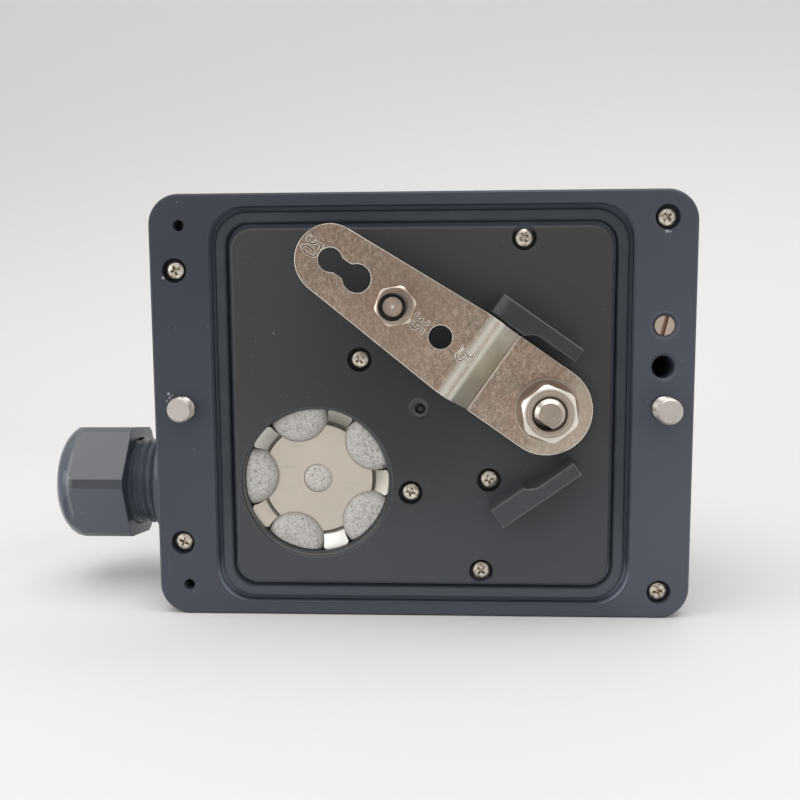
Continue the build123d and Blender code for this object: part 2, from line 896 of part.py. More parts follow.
# Captive fastening screws, each with the washer that keeps it in its bore
for side, proud in ((-1, left_proud), (1, right_proud)):
    side_name = "left" if side < 0 else "right"
    screw_x = side * fastening_x
    head_seat = proud - fastening_len
    with BuildPart() as fastening_screw:
        add(
            turned(
                screw_x,
                0,
                [
                    (0, proud),
                    (fastening_r - fastening_chamfer, proud),
                    (fastening_r, proud - fastening_chamfer),
                    (fastening_r, -fastening_thread_under),
                    (fastening_shank_r, -fastening_thread_under),
                    (fastening_shank_r, head_seat),
                    (fastening_head_r, head_seat),
                    (fastening_head_r, head_seat - fastening_head_t + edge_break),
                    (fastening_head_r - edge_break, head_seat - fastening_head_t),
                    (0, head_seat - fastening_head_t),
                ],
            )
        )
        with BuildSketch(inward(-head_seat + fastening_head_t)):
            with Locations((screw_x, 0)):
                RegularPolygon(fastening_socket / sqrt(3), 6)
        extrude(amount=fastening_socket_depth, mode=Mode.SUBTRACT)
    save(fastening_screw.part, f"fastening_screw_{side_name}")
    retainer_profile = [
        (fastening_shank_r + slip_gap, head_seat + slip_gap),
        (retainer_r, head_seat + slip_gap),
        (retainer_r, head_seat + slip_gap + retainer_t),
        (fastening_shank_r + slip_gap, head_seat + slip_gap + retainer_t),
    ]
    save(turned(screw_x, 0, retainer_profile), f"screw_retainer_{side_name}")

# Housing shell, cast, with a thick right wall for the air ports
with BuildPart() as housing_shell:
    extrude(shell_face(shell_back), amount=-(shell_front - shell_back))
    with BuildSketch(Plane(origin=(cavity_left, gland_y, gland_z), x_dir=(0, 1, 0), z_dir=(1, 0, 0))):
        Circle(gland_boss_r)
    extrude(amount=gland_thread_len - shell_wall)
    with BuildSketch(Plane(origin=(-wall_x, gland_y, gland_z), x_dir=(0, 1, 0), z_dir=(1, 0, 0))):
        Circle(gland_thread_r + slip_gap)
    extrude(amount=gland_thread_len, mode=Mode.SUBTRACT)
    for port_side in (-1, 1):
        port_plane = Plane(
            origin=(wall_x, port_depth_y, port_side * port_z), x_dir=(0, 1, 0), z_dir=(1, 0, 0)
        )
        with BuildSketch(port_plane):
            Circle(port_r)
        extrude(amount=-port_len, mode=Mode.SUBTRACT)
        with BuildSketch(port_plane.offset(-port_len)):
            Circle(strainer_r + slip_gap)
        extrude(amount=-(strainer_sink + strainer_t), mode=Mode.SUBTRACT)
        with BuildSketch(port_plane.offset(-port_len)):
            Circle(port_cross_r)
        extrude(amount=-(shell_port_wall - port_len), mode=Mode.SUBTRACT)
    with BuildSketch(inward(shell_back)):
        with Locations((-fastening_x, 0), (fastening_x, 0)):
            Circle(fastening_r + running_gap)
    extrude(amount=-(fastening_seat - shell_back), mode=Mode.SUBTRACT)
    with BuildSketch(inward(fastening_seat)):
        with Locations((-fastening_x, 0), (fastening_x, 0)):
            Circle(fastening_recess_r)
    extrude(amount=-(shell_front - fastening_seat), mode=Mode.SUBTRACT)
    with BuildSketch(inward(shell_back)):
        with Locations(*base_screw_points):
            Circle(small_screw_r + slip_gap)
    extrude(amount=-(base_screw_depth + 1 - shell_back), mode=Mode.SUBTRACT)
    with BuildSketch(inward(shell_back)):
        with Locations((air_x, air_z)):
            Circle(air_r)
    extrude(amount=-(port_depth_y - shell_back), mode=Mode.SUBTRACT)
    with BuildSketch(inward(shell_back)):
        with Locations((air_x, plug_z)):
            Circle(plug_r)
    extrude(amount=-(port_depth_y - shell_back - port_r / 2), mode=Mode.SUBTRACT)
    with BuildSketch(inward(cover_screw_depth - 1)):
        with Locations(*cover_screw_points):
            Circle(cover_screw_r + slip_gap)
    extrude(amount=-(shell_front - cover_screw_depth + 1), mode=Mode.SUBTRACT)
save(housing_shell.part, "housing_shell")

# Flat gaskets behind the base plate and under the front cover
fastening_points = [(-fastening_x, 0), (fastening_x, 0)]
housing_gasket_bores = [
    (fastening_r, fastening_points),
    (small_screw_r, base_screw_points),
    (air_r, [(air_x, air_z)]),
    (plug_r, [(air_x, plug_z)]),
]
cover_gasket_bores = [(fastening_recess_r, fastening_points), (cover_screw_r, cover_screw_points)]
save(gasket(plate_t, housing_gasket_bores), "housing_gasket")
save(gasket(shell_front, cover_gasket_bores), "cover_gasket")

# Strainers sunk below the bottom of the two air ports
strainer_back = wall_x - port_len - strainer_sink - strainer_t
for port_side, strainer_name in ((-1, "supply_strainer"), (1, "output_strainer")):
    with BuildPart() as strainer:
        with BuildSketch(
            Plane(
                origin=(strainer_back, port_depth_y, port_side * port_z),
                x_dir=(0, 1, 0),
                z_dir=(1, 0, 0),
            )
        ):
            Circle(strainer_r)
        extrude(amount=strainer_t)
        chamfer(strainer.faces().sort_by(Axis.X)[-1].edges(), edge_break)
    save(strainer.part, strainer_name)


def gland_plane(x):
    """Plane across the gland's axis at x, facing out of the left wall."""
    return Plane(origin=(x, gland_y, gland_z), x_dir=(0, -1, 0), z_dir=(-1, 0, 0))


def gland_turned(profile):
    """Solid of revolution about the gland's axis, from (x, radius) points."""
    with BuildPart() as body:
        with BuildSketch(Plane(origin=(0, gland_y, gland_z), x_dir=(1, 0, 0), z_dir=(0, -1, 0))):
            with BuildLine():
                Polyline(*profile, close=True)
            make_face()
        revolve(axis=Axis((0, gland_y, gland_z), (1, 0, 0)))
    return body.part


# Gland body: thread in the wall, hexagon collar, and the neck for the cap
gland_corner_r = gland_width / 2 * gland_corner_ratio
with BuildPart() as gland_body:
    with BuildSketch(gland_plane(-wall_x)):
        RegularPolygon(gland_width / sqrt(3), 6, rotation=gland_turn)
    extrude(amount=gland_collar_t)
    add(
        gland_turned(
            [
                (-wall_x, 0),
                (-wall_x, gland_corner_r),
                (collar_end + 1, gland_corner_r),
                (collar_end, gland_corner_r - 1),
                (collar_end, 0),
            ]
        ),
        mode=Mode.INTERSECT,
    )
    add(
        gland_turned(
            [
                (-wall_x + gland_thread_len, 0),
                (-wall_x + gland_thread_len, gland_thread_r - 1),
                (-wall_x + gland_thread_len - 1, gland_thread_r),
                (-wall_x, gland_thread_r),
                (-wall_x, gland_neck_r),
                (gland_neck_end + 1, gland_neck_r),
                (gland_neck_end, gland_neck_r - 1),
                (gland_neck_end, 0),
            ]
        )
    )
    with BuildSketch(gland_plane(-wall_x + gland_thread_len)):
        Circle(gland_bore_r)
    extrude(amount=gland_thread_len - wall_x - gland_neck_end, mode=Mode.SUBTRACT)
    with BuildSketch(gland_plane(gland_neck_end + gland_insert_len)):
        Circle(gland_insert_r + slip_gap)
    extrude(amount=gland_insert_len, mode=Mode.SUBTRACT)
save(gland_body.part, "gland_body")

# Rubber insert that grips the cable, seated in the neck
save(
    gland_turned(
        [
            (gland_neck_end + gland_insert_len, gland_bore_r),
            (gland_neck_end + gland_insert_len, gland_insert_r),
            (gland_neck_end + edge_break, gland_insert_r),
            (gland_neck_end, gland_insert_r - edge_break),
            (gland_neck_end, gland_bore_r),
        ]
    ),
    "gland_insert",
)

# Dome cap nut: hexagon sides that run into an elliptic dome with an open mouth
gland_axis = Axis((0, gland_y, gland_z), (1, 0, 0))
gland_section = Plane(origin=(0, gland_y, gland_z), x_dir=(1, 0, 0), z_dir=(0, -1, 0))
claw_start = gland_neck_end - gland_cap_travel - seat_gap
claw_end = claw_start - gland_claw_t
with BuildPart() as cap_form:
    with BuildSketch(gland_section):
        with BuildLine():
            Line((gland_cap_tip, 0), (gland_cap_start, 0))
            Line((gland_cap_start, 0), (gland_cap_start, gland_corner_r - 1))
            Line((gland_cap_start, gland_corner_r - 1), (gland_cap_start - 1, gland_corner_r))
            Line((gland_cap_start - 1, gland_corner_r), (gland_cap_flat_end, gland_corner_r))
            Line((gland_cap_flat_end, gland_corner_r), (gland_cap_dome, gland_cap_dome_r))
            EllipticalCenterArc(
                (gland_cap_dome, gland_cap_mouth_r),
                gland_cap_dome_len,
                gland_cap_dome_r - gland_cap_mouth_r,
                start_angle=90,
                arc_size=90,
            )
            Line((gland_cap_tip, gland_cap_mouth_r), (gland_cap_tip, 0))
        make_face()
    revolve(axis=gland_axis)
with BuildPart() as gland_cap:
    with BuildSketch(gland_plane(gland_cap_start)):
        RegularPolygon(gland_width / sqrt(3), 6, rotation=gland_turn)
    extrude(amount=gland_cap_start - gland_cap_tip)
    add(cap_form.part, mode=Mode.INTERSECT)
    with BuildSketch(gland_plane(gland_cap_start)):
        Circle(gland_neck_r + running_gap)
    extrude(amount=gland_cap_start - claw_end, mode=Mode.SUBTRACT)
    with BuildSketch(gland_plane(claw_end)):
        Circle(gland_bore_r)
    extrude(amount=claw_end - gland_cap_tip, mode=Mode.SUBTRACT)
save(gland_cap.part, "gland_cap")

# Slotted claw ring inside the cap, which presses on the insert as the cap is tightened
with BuildPart() as gland_claw:
    with BuildSketch(gland_plane(claw_start)):
        Circle(gland_neck_r)
        Circle(gland_neck_r - gland_claw_wall, mode=Mode.SUBTRACT)
    extrude(amount=gland_claw_t)
    with BuildSketch(gland_plane(claw_start)):
        with PolarLocations(gland_neck_r, gland_claw_slots):
            Rectangle(3 * gland_claw_wall, gland_claw_slot_w)
    extrude(amount=gland_claw_t / 2, mode=Mode.SUBTRACT)
save(gland_claw.part, "gland_claw")

# Front cover: a shallow box with rounded front edges and an opening for the window
with BuildPart() as front_cover:
    with BuildSketch(inward(cover_rear)):
        RectangleRounded(plate_w, plate_h, plate_corner_r)
    extrude(amount=-(cover_front - cover_rear))
    fillet(front_cover.faces().sort_by(Axis.Y)[-1].edges(), cover_edge_r)
    with BuildSketch(inward(cover_rear)):
        RectangleRounded(cover_cavity_w, cover_cavity_h, shell_cavity_r)
    extrude(amount=-(cover_front - cover_wall - cover_rear), mode=Mode.SUBTRACT)
    with BuildSketch(inward(cover_front - cover_wall)):
        with Locations((window_x, window_z)):
            RectangleRounded(window_w, window_h, window_r)
    extrude(amount=-cover_wall, mode=Mode.SUBTRACT)
    with BuildSketch(inward(cover_rear)):
        with Locations(*cover_screw_points):
            Circle(cover_screw_r + running_gap)
    extrude(amount=-(cover_front - cover_rear), mode=Mode.SUBTRACT)
    with BuildSketch(inward(cover_front - cover_screw_recess)):
        with Locations(*cover_screw_points):
            Circle(cover_screw_recess_r)
    extrude(amount=-cover_screw_recess, mode=Mode.SUBTRACT)
save(front_cover.part, "front_cover")

# Four cover screws with hexagon sockets
with BuildPart() as cover_screws:
    with BuildSketch(inward(cover_screw_depth)):
        with Locations(*cover_screw_points):
            Circle(cover_screw_r)
    extrude(amount=-(cover_front - cover_screw_recess - cover_screw_depth))
    with BuildSketch(inward(cover_front - cover_screw_recess)):
        with Locations(*cover_screw_points):
            Circle(cover_screw_head_r)
    extrude(amount=-cover_screw_head_t)
    with BuildSketch(inward(cover_front - cover_screw_recess + cover_screw_head_t)):
        with Locations(*cover_screw_points):
            RegularPolygon(cover_screw_r, 6)
    extrude(amount=cover_screw_head_t / 2, mode=Mode.SUBTRACT)
save(cover_screws.part, "cover_screws")

# Window: a clear plate with a raised centre that fills the opening
with BuildPart() as window:
    with BuildSketch(inward(cover_front - cover_wall - window_flange_t)):
        with Locations((window_x, window_z)):
            RectangleRounded(
                window_w + 2 * window_flange, window_h + 2 * window_flange, window_r + window_flange
            )
    extrude(amount=-window_flange_t)
    with BuildSketch(inward(cover_front - cover_wall)):
        with Locations((window_x, window_z)):
            RectangleRounded(window_w - 2 * slip_gap, window_h - 2 * slip_gap, window_r)
    extrude(amount=-(cover_wall - window_sink))
save(window.part, "window")

# Circuit board on four spacers that stand on the base plate
spacer_points = [
    (edge_x, level * (board_top - spacer_down))
    for edge_x in (board_left + spacer_in, board_right - spacer_in)
    for level in (-1, 1)
]
with BuildPart() as board_spacers:
    with BuildSketch(inward(plate_t)):
        with Locations(*spacer_points):
            RegularPolygon(spacer_r, 6)
    extrude(amount=-(board_back - plate_t))
    with BuildSketch(inward(board_back)):
        with Locations(*spacer_points):
            Circle(spacer_pin_r)
    extrude(amount=-(board_t + 1))
save(board_spacers.part, "board_spacers")

with BuildPart() as circuit_board:
    with BuildSketch(inward(board_back)):
        with Locations(((board_left + board_right) / 2, 0)):
            RectangleRounded(board_right - board_left, 2 * board_top, board_r)
        with Locations(*spacer_points):
            Circle(spacer_pin_r + slip_gap, mode=Mode.SUBTRACT)
    extrude(amount=-board_t)
save(circuit_board.part, "circuit_board")

# Converter module with its coil can, clear of the shaft boss
module_w = module_right - module_left
module_h = module_top - module_bottom
with BuildPart() as converter_module:
    with BuildSketch(inward(cover_back)):
        with Locations(((module_left + module_right) / 2, (module_bottom + module_top) / 2)):
            RectangleRounded(module_w, module_h, module_edge_r)
        with Locations((shaft_x, 0)):
            Circle(holder_disc_r + 1, mode=Mode.SUBTRACT)
    extrude(amount=-module_depth)
    with BuildSketch(inward(cover_back + module_depth)):
        with Locations((module_left + coil_r + 2, (module_bottom + module_top) / 2)):
            Circle(coil_r)
    extrude(amount=-coil_h)
    chamfer(converter_module.faces().sort_by(Axis.Y)[-1].edges(), edge_break)
    with BuildSketch(inward(cover_back)):
        with Locations(*module_screw_points):
            Circle(small_screw_r + slip_gap)
    extrude(amount=-(module_screw_depth + 1 - cover_back), mode=Mode.SUBTRACT)
save(converter_module.part, "converter_module")

# Booster relay: a block with two diaphragm domes
with BuildPart() as booster_relay:
    with BuildSketch(inward(cover_back)):
        with Locations((0, relay_z)):
            RectangleRounded(relay_w, relay_h, module_edge_r)
    extrude(amount=-relay_depth)
    with BuildSketch(inward(cover_back + relay_depth)):
        with Locations((0, relay_z)):
            with GridLocations(relay_w / 2, 1, 2, 1):
                Circle(relay_dome_r)
    extrude(amount=-relay_dome_h, taper=20)
save(booster_relay.part, "booster_relay")

# Magnet holder on the tail of the shaft, and the magnet in its cup
tail_end = bush_end + shaft_tail_len
holder_profile = [
    (shaft_tail_r, -holder_start),
    (holder_disc_r, -holder_start),
    (holder_disc_r, -holder_start - holder_disc_t),
    (holder_cup_r, -holder_start - holder_disc_t),
    (holder_cup_r, -holder_end),
    (magnet_r, -holder_end),
    (magnet_r, -tail_end),
    (shaft_tail_r, -tail_end),
]
save(turned(shaft_x, 0, holder_profile), "magnet_holder")
magnet_end = tail_end + magnet_t
magnet_profile = [(0, -tail_end), (magnet_r, -tail_end), (magnet_r, -magnet_end), (0, -magnet_end)]
save(turned(shaft_x, 0, magnet_profile), "magnet")

# Angle sensor: a strip of board on the two pillars, with its chip facing the magnet
with BuildPart() as angle_sensor:
    with BuildSketch(inward(sensor_back)):
        with Locations((shaft_x, 0)):
            RectangleRounded(sensor_w, 2 * pillar_z + 2 * pillar_r, 1)
    extrude(amount=-sensor_t)
    with BuildSketch(inward(sensor_back)):
        with Locations((shaft_x, 0)):
            Rectangle(sensor_chip, sensor_chip)
    extrude(amount=sensor_chip_t)
save(angle_sensor.part, "angle_sensor")

# Return spring: a wound torsion spring round the shaft boss
with BuildPart() as return_spring:
    spring_start = cover_back + spring_wire_r + holder_gap
    with BuildLine() as coil:
        Helix(
            spring_pitch,
            spring_pitch * spring_turns,
            spring_r,
            center=(shaft_x, spring_start, 0),
            direction=(0, 1, 0),
        )
    with BuildSketch(Plane(origin=coil.line @ 0, z_dir=coil.line % 0)):
        Circle(spring_wire_r)
    sweep(is_frenet=True)
save(return_spring.part, "return_spring")

# Terminal block on the board
terminal_z = -board_top + terminal_up + terminal_h / 2
with BuildPart() as terminal_block:
    with BuildSketch(inward(board_back + board_t)):
        with Locations((terminal_x, terminal_z)):
            Rectangle(terminal_w, terminal_h)
    extrude(amount=-terminal_depth)
    with BuildSketch(inward(board_back + board_t + terminal_depth)):
        with Locations((terminal_x, terminal_z)):
            with GridLocations(1, terminal_h / terminal_poles, 1, terminal_poles):
                Circle(terminal_well_r)
    extrude(amount=terminal_depth / 2, mode=Mode.SUBTRACT)
save(terminal_block.part, "terminal_block")

# Display module, which reaches from the board to just behind the window
display_front = cover_front - cover_wall - window_flange_t - seat_gap
display_w = window_w - 2 * display_gap
display_h = window_h - 2 * display_gap
with BuildPart() as display_module:
    with BuildSketch(inward(board_back + board_t)):
        with Locations((window_x, window_z)):
            RectangleRounded(display_w, display_h, module_edge_r)
    extrude(amount=-(display_front - board_back - board_t))
    with BuildSketch(inward(display_front)):
        with Locations((window_x, window_z)):
            RectangleRounded(display_w - 2 * display_bezel, display_h - 2 * display_bezel, 1)
    extrude(amount=display_sink, mode=Mode.SUBTRACT)
save(display_module.part, "display_module")
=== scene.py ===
"""Looks of the valve positioner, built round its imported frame.

X runs to the right as seen from the mounting side, Z runs up and Y runs into the housing.
Heights over the mounting face are measured towards -Y, and lengths are in millimetres times MM.
"""

import json
from math import cos, pi, radians, sin, sqrt

import bmesh
import bpy
from mathutils import Matrix, Vector


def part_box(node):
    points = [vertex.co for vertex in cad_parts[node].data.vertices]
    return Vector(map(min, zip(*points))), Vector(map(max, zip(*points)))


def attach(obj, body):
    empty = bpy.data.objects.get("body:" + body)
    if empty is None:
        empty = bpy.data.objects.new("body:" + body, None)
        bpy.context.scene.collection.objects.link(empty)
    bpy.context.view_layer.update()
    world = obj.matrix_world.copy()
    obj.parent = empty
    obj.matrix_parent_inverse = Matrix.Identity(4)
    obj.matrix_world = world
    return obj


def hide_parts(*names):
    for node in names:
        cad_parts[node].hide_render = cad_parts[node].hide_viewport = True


MM = 0.001
SHARP_ANGLE = 30.0
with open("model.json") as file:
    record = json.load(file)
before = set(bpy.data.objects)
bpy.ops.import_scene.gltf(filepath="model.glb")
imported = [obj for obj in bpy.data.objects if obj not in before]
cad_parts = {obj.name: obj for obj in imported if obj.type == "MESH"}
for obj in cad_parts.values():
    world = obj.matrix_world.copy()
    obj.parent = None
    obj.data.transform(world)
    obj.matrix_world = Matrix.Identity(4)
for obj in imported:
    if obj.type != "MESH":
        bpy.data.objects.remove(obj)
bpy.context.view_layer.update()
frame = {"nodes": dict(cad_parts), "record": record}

# Places that the frame gives
shaft_low, shaft_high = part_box("pickup_shaft")
SHAFT_X = (shaft_low.x + shaft_high.x) / 2 / MM
FLOOR_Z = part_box("base_plate")[0].z / MM
vent_low, vent_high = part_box("vent_filter")
VENT_X = (vent_low.x + vent_high.x) / 2 / MM
VENT_Z = (vent_low.z + vent_high.z) / 2 / MM
cap_low, cap_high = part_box("gland_cap")
GLAND_Y = (cap_low.y + cap_high.y) / 2 / MM
GLAND_Z = (cap_low.z + cap_high.z) / 2 / MM
pin_low, pin_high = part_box("follower_sleeve")
PIN_X = (pin_low.x + pin_high.x) / 2 / MM
PIN_Z = (pin_low.z + pin_high.z) / 2 / MM

# Sizes that the looks share with the solids
LEVER_ANGLE = 144.78
LEVER_TOP = 8.0
BEND_ROOT = (12.40, 12.72)
BEND_SLOPE = (12.9, 17.4)
BEND_CREST = (17.9, 19.5)
RIB_TOP = -6.0
RIB_OUTER_EDGE = (12.9, 14)
RIB_FAR_END = (18.4, 25)
FASTENING_R = 2.5
GLAND_TURN = 7.5
GLAND_FLATS = 24
GLAND_WALL = 52.7
GLAND_COLLAR = 57.7
GLAND_NECK_R = 9.6
GLAND_CAP_START = 64.0
PLUG = (47, 16.1)
PLUG_SLOT = 76.0

# Lever: its rounded edge, and its figures as text, reach along the lever, place aside and height
LEVER_EDGE = 0.37
FIGURES = (("50", 54.35, -0.05, 3.4), ("35", 29.9, 0.15, 3.2), ("25", 19.5, 0.3, 3.0))
FIGURE_FIT = 1.43
FIGURE_NARROW = 0.76
FIGURE_DEPTH = 0.14
FIGURE_RIM = 0.095

# Vent, whose disc sits a little high in its recess
VENT_SEAT = (VENT_X - 0.05, VENT_Z + 0.42)
VENT_RIM_R = 14.4
VENT_CENTRE_R = 2.9
VENT_VALLEY_R = 11.4
VENT_LOBES = 5
VENT_LOBE_AT = 14.0
VENT_LOBE_R = 6.1
VENT_TAB_ANGLE = -2.5
VENT_TAB_HALF = 10.97
VENT_TAB_ROUND = 0.8
DISC_FLOOR = -3.6
DISC_BACK = -5.95
DISC_EDGE = 0.25
LOBE_SWELL = 2.5
LOBE_SLOPE = 2.6
CENTRE_SWELL = 1.0
STEP_R = 14.97
STEP_TOP = -0.4
STEP_BOTTOM = -2.2

# Small screws, as x, z and the turn of the cross
BASE_SCREWS = ((-48.1, 27.25, 20), (-48.1, -27.25, 65), (47.1, 36.7, 40), (47.1, -36.7, 10))
PLATFORM_SCREWS = ((20.0, 33.0, 30), (12.0, -32.7, 50), (-11.9, 9.7, 35))
PLATFORM_SCREWS += ((-2.0, -16.8, 75), (13.5, -14.2, 15))
SMALL_SCREW_R = 1.25
SMALL_HEAD_R = 1.8

# Cross recess at its foot and its mouth, as height, half an arm's width and its reach
CROSS = ((-1.7, 0.14, 0.45), (-0.3, 0.30, 1.20))

# Marks of the face: chips and holes as x, z and radius, and the gate mark
CHIPS = ((-50.3, 25.85, 0.3), (-50.0, 26.2, 0.2), (46.9, 34.0, 0.3), (47.5, 33.9, 0.2))
CHIPS += ((-50.0, 3.0, 0.28), (-49.8, 2.2, 0.25), (-50.4, 1.6, 0.18), (-49.3, 2.7, 0.15))
HOLES = ((-47.6, 35.9, 1.5), (-47.6, -35.9, 1.5), (47, 8.1, 2.6))
GATE = (-0.4, 0.2)

# Shades of the metals, and the rings of the turned pieces as start, end, colour and strength
NICKEL = (0.57, 0.43, 0.33)
NICKEL_DARK = (0.32, 0.235, 0.175)
BRIGHT = (0.80, 0.77, 0.72)
BRIGHT_DARK = (0.60, 0.55, 0.48)
# Painted highlight for the bright rims and corners of the turned pieces.
PAINTED_HIGHLIGHT = (0.84, 0.78, 0.70)
TURNED = (0.44, 0.37, 0.305)
SHADED = (0.12, 0.106, 0.088)
NUT_RINGS = ((0, 3.3, SHADED, 0.95), (3.9, 4.15, (0.62, 0.55, 0.47), 0.6), (4.5, 8, PAINTED_HIGHLIGHT, 0.95))
SHAFT_RINGS = ((2.15, 3.1, (0.66, 0.60, 0.53), 0.9), (2.0, 2.2, SHADED, 0.3))
DISC_SPRING_RINGS = ((6.0, 7, PAINTED_HIGHLIGHT, 0.35),)
PIN_RINGS = ((0, 0.30, (1, 1, 0.97), 0.9), (3.6, 5, PAINTED_HIGHLIGHT, 0.7))

# Stage: the camera solved from the flange's corners, and the level of the light all round
CAMERA_AT = (5.135, -184.988, 23.195)
CAMERA_YAW = 0.04943
CAMERA_PITCH = -0.11527
CAMERA_ROLL = 0.006071
CAMERA_LENS = 42.75
WORLD_LEVEL = 0.84


# Placing: each local frame has its z axis out of the face that a piece stands on
def out_of_face(x, z, turn=0.0):
    """Frame on the mounting face at x, z, with local z towards -Y."""
    seat = Matrix(((1, 0, 0, x * MM), (0, 0, -1, 0), (0, 1, 0, z * MM), (0, 0, 0, 1)))
    return seat @ Matrix.Rotation(radians(turn), 4, "Z")


def out_of_left_wall(turn=0.0):
    """Frame on the gland's axis at x = 0, with local z towards -X and local x towards -Y."""
    seat = Matrix(((0, 0, -1, 0), (-1, 0, 0, GLAND_Y * MM), (0, 1, 0, GLAND_Z * MM), (0, 0, 0, 1)))
    return seat @ Matrix.Rotation(radians(turn), 4, "Z")


# Mesh tools, all in millimetres in a local frame
def lathe(bm, profile, sides):
    """Surface turned about local z from (radius, height) points."""
    rings = []
    for radius, height in profile:
        if radius == 0:
            rings.append([bm.verts.new((0, 0, height))])
            continue
        angles = [2 * pi * step / sides for step in range(sides)]
        rings.append([bm.verts.new((radius * cos(a), radius * sin(a), height)) for a in angles])
    for low, high in zip(rings, rings[1:]):
        join_rings(bm, low, high, sides)


def join_rings(bm, low, high, sides):
    """Faces between two rings, either of which may be a single point."""
    for step in range(sides):
        after = (step + 1) % sides
        corners = [low[step % len(low)], low[after % len(low)]]
        corners += [high[after % len(high)], high[step % len(high)]]
        corners = list(dict.fromkeys(corners))
        if len(corners) > 2:
            bm.faces.new(corners)


def thread(bm, radius, start, end, pitch, depth, sides, fade=0.5):
    """Open helical thread about local z, which fades out at both ends."""
    steps_per_turn = 8
    steps = max(2, round((end - start) / pitch * steps_per_turn))
    rings = []
    for step in range(steps + 1):
        height = start + (end - start) * step / steps
        shallow = min(1, (height - start) / (fade * pitch), (end - height) / (fade * pitch))
        ring = []
        for side in range(sides):
            phase = (height / pitch - side / sides) % 1
            valley = 1 - abs(2 * phase - 1)
            r = radius - depth * max(0, shallow) * valley
            angle = 2 * pi * side / sides
            ring.append(bm.verts.new((r * cos(angle), r * sin(angle), height)))
        rings.append(ring)
    for low, high in zip(rings, rings[1:]):
        join_rings(bm, low, high, sides)
    return rings


def prism(bm, outline, bottom, top):
    """Closed prism over an outline, given as (x, y) points."""
    low = [bm.verts.new((x, y, bottom)) for x, y in outline]
    high = [bm.verts.new((x, y, top)) for x, y in outline]
    join_rings(bm, low, high, len(outline))
    bm.faces.new(list(reversed(low)))
    bm.faces.new(high)


def polygon(count, radius, turn=0.0):
    """Corners of a regular polygon."""
    return [
        (radius * cos(radians(turn) + 2 * pi * k / count), radius * sin(radians(turn) + 2 * pi * k / count))
        for k in range(count)
    ]


def put_in_scene(name, data):
    """A new object with its data, linked to the scene."""
    made = bpy.data.objects.new(name, data)
    bpy.context.scene.collection.objects.link(made)
    return made


def mesh_object(name, bm, seat, material, sharp_angle=SHARP_ANGLE):
    """Object from a millimetre mesh, put in its place with its own vertices."""
    bmesh.ops.remove_doubles(bm, verts=bm.verts, dist=1e-5)
    bmesh.ops.recalc_face_normals(bm, faces=bm.faces)
    bmesh.ops.transform(bm, matrix=seat @ Matrix.Scale(MM, 4), verts=bm.verts)
    mesh = bpy.data.meshes.new(name)
    bm.to_mesh(mesh)
    bm.free()
    mesh.materials.append(material)
    mesh.shade_smooth()
    mesh.set_sharp_from_angle(angle=radians(sharp_angle))
    return put_in_scene(name, mesh)


def with_modifier(piece, kind, **settings):
    """Applies one modifier to a piece's own mesh."""
    modifier = piece.modifiers.new(kind.title(), kind)
    for key, value in settings.items():
        setattr(modifier, key, value)
    depsgraph = bpy.context.evaluated_depsgraph_get()
    applied = bpy.data.meshes.new_from_object(piece.evaluated_get(depsgraph))
    piece.modifiers.clear()
    piece.data = applied
    return piece


def cut(piece, cutter, operation="DIFFERENCE"):
    """Takes the cutter's volume out of a piece, or else keeps what they share, and deletes the cutter."""
    with_modifier(piece, "BOOLEAN", operation=operation, object=cutter, solver="EXACT")
    bpy.data.objects.remove(cutter)
    return piece


def round_edges(piece, width, angle, **more):
    """Rounds a piece's edges where its faces turn by more than an angle."""
    limit = {"limit_method": "ANGLE", "angle_limit": radians(angle)}
    return with_modifier(piece, "BEVEL", width=width * MM, segments=2, **limit, **more)


def resharpen(piece):
    """Smooth shading with sharp edges, led by the large faces."""
    piece.data.shade_smooth()
    piece.data.set_sharp_from_angle(angle=radians(SHARP_ANGLE))
    return with_modifier(piece, "WEIGHTED_NORMAL", keep_sharp=True)


def copy_of(node, name, edge_width, material, edge_material):
    """Copy of a node's mesh with its flat faces merged and its sharp edges rounded, the rounds in the edge
    material.
    """
    bm = bmesh.new()
    bm.from_mesh(frame["nodes"][node].data)
    bmesh.ops.remove_doubles(bm, verts=bm.verts, dist=1e-6)
    bmesh.ops.dissolve_limit(bm, angle_limit=radians(0.5), verts=bm.verts, edges=bm.edges)
    mesh = bpy.data.meshes.new(name)
    bm.to_mesh(mesh)
    bm.free()
    mesh.materials.clear()
    mesh.materials.append(material)
    mesh.materials.append(edge_material)
    for face in mesh.polygons:
        face.material_index = 0
    piece = put_in_scene(name, mesh)
    return resharpen(round_edges(piece, edge_width, 35, material=1))


def stands_for(piece, node, body):
    """A piece that shows in place of a solid."""
    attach(piece, body)
    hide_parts(node)


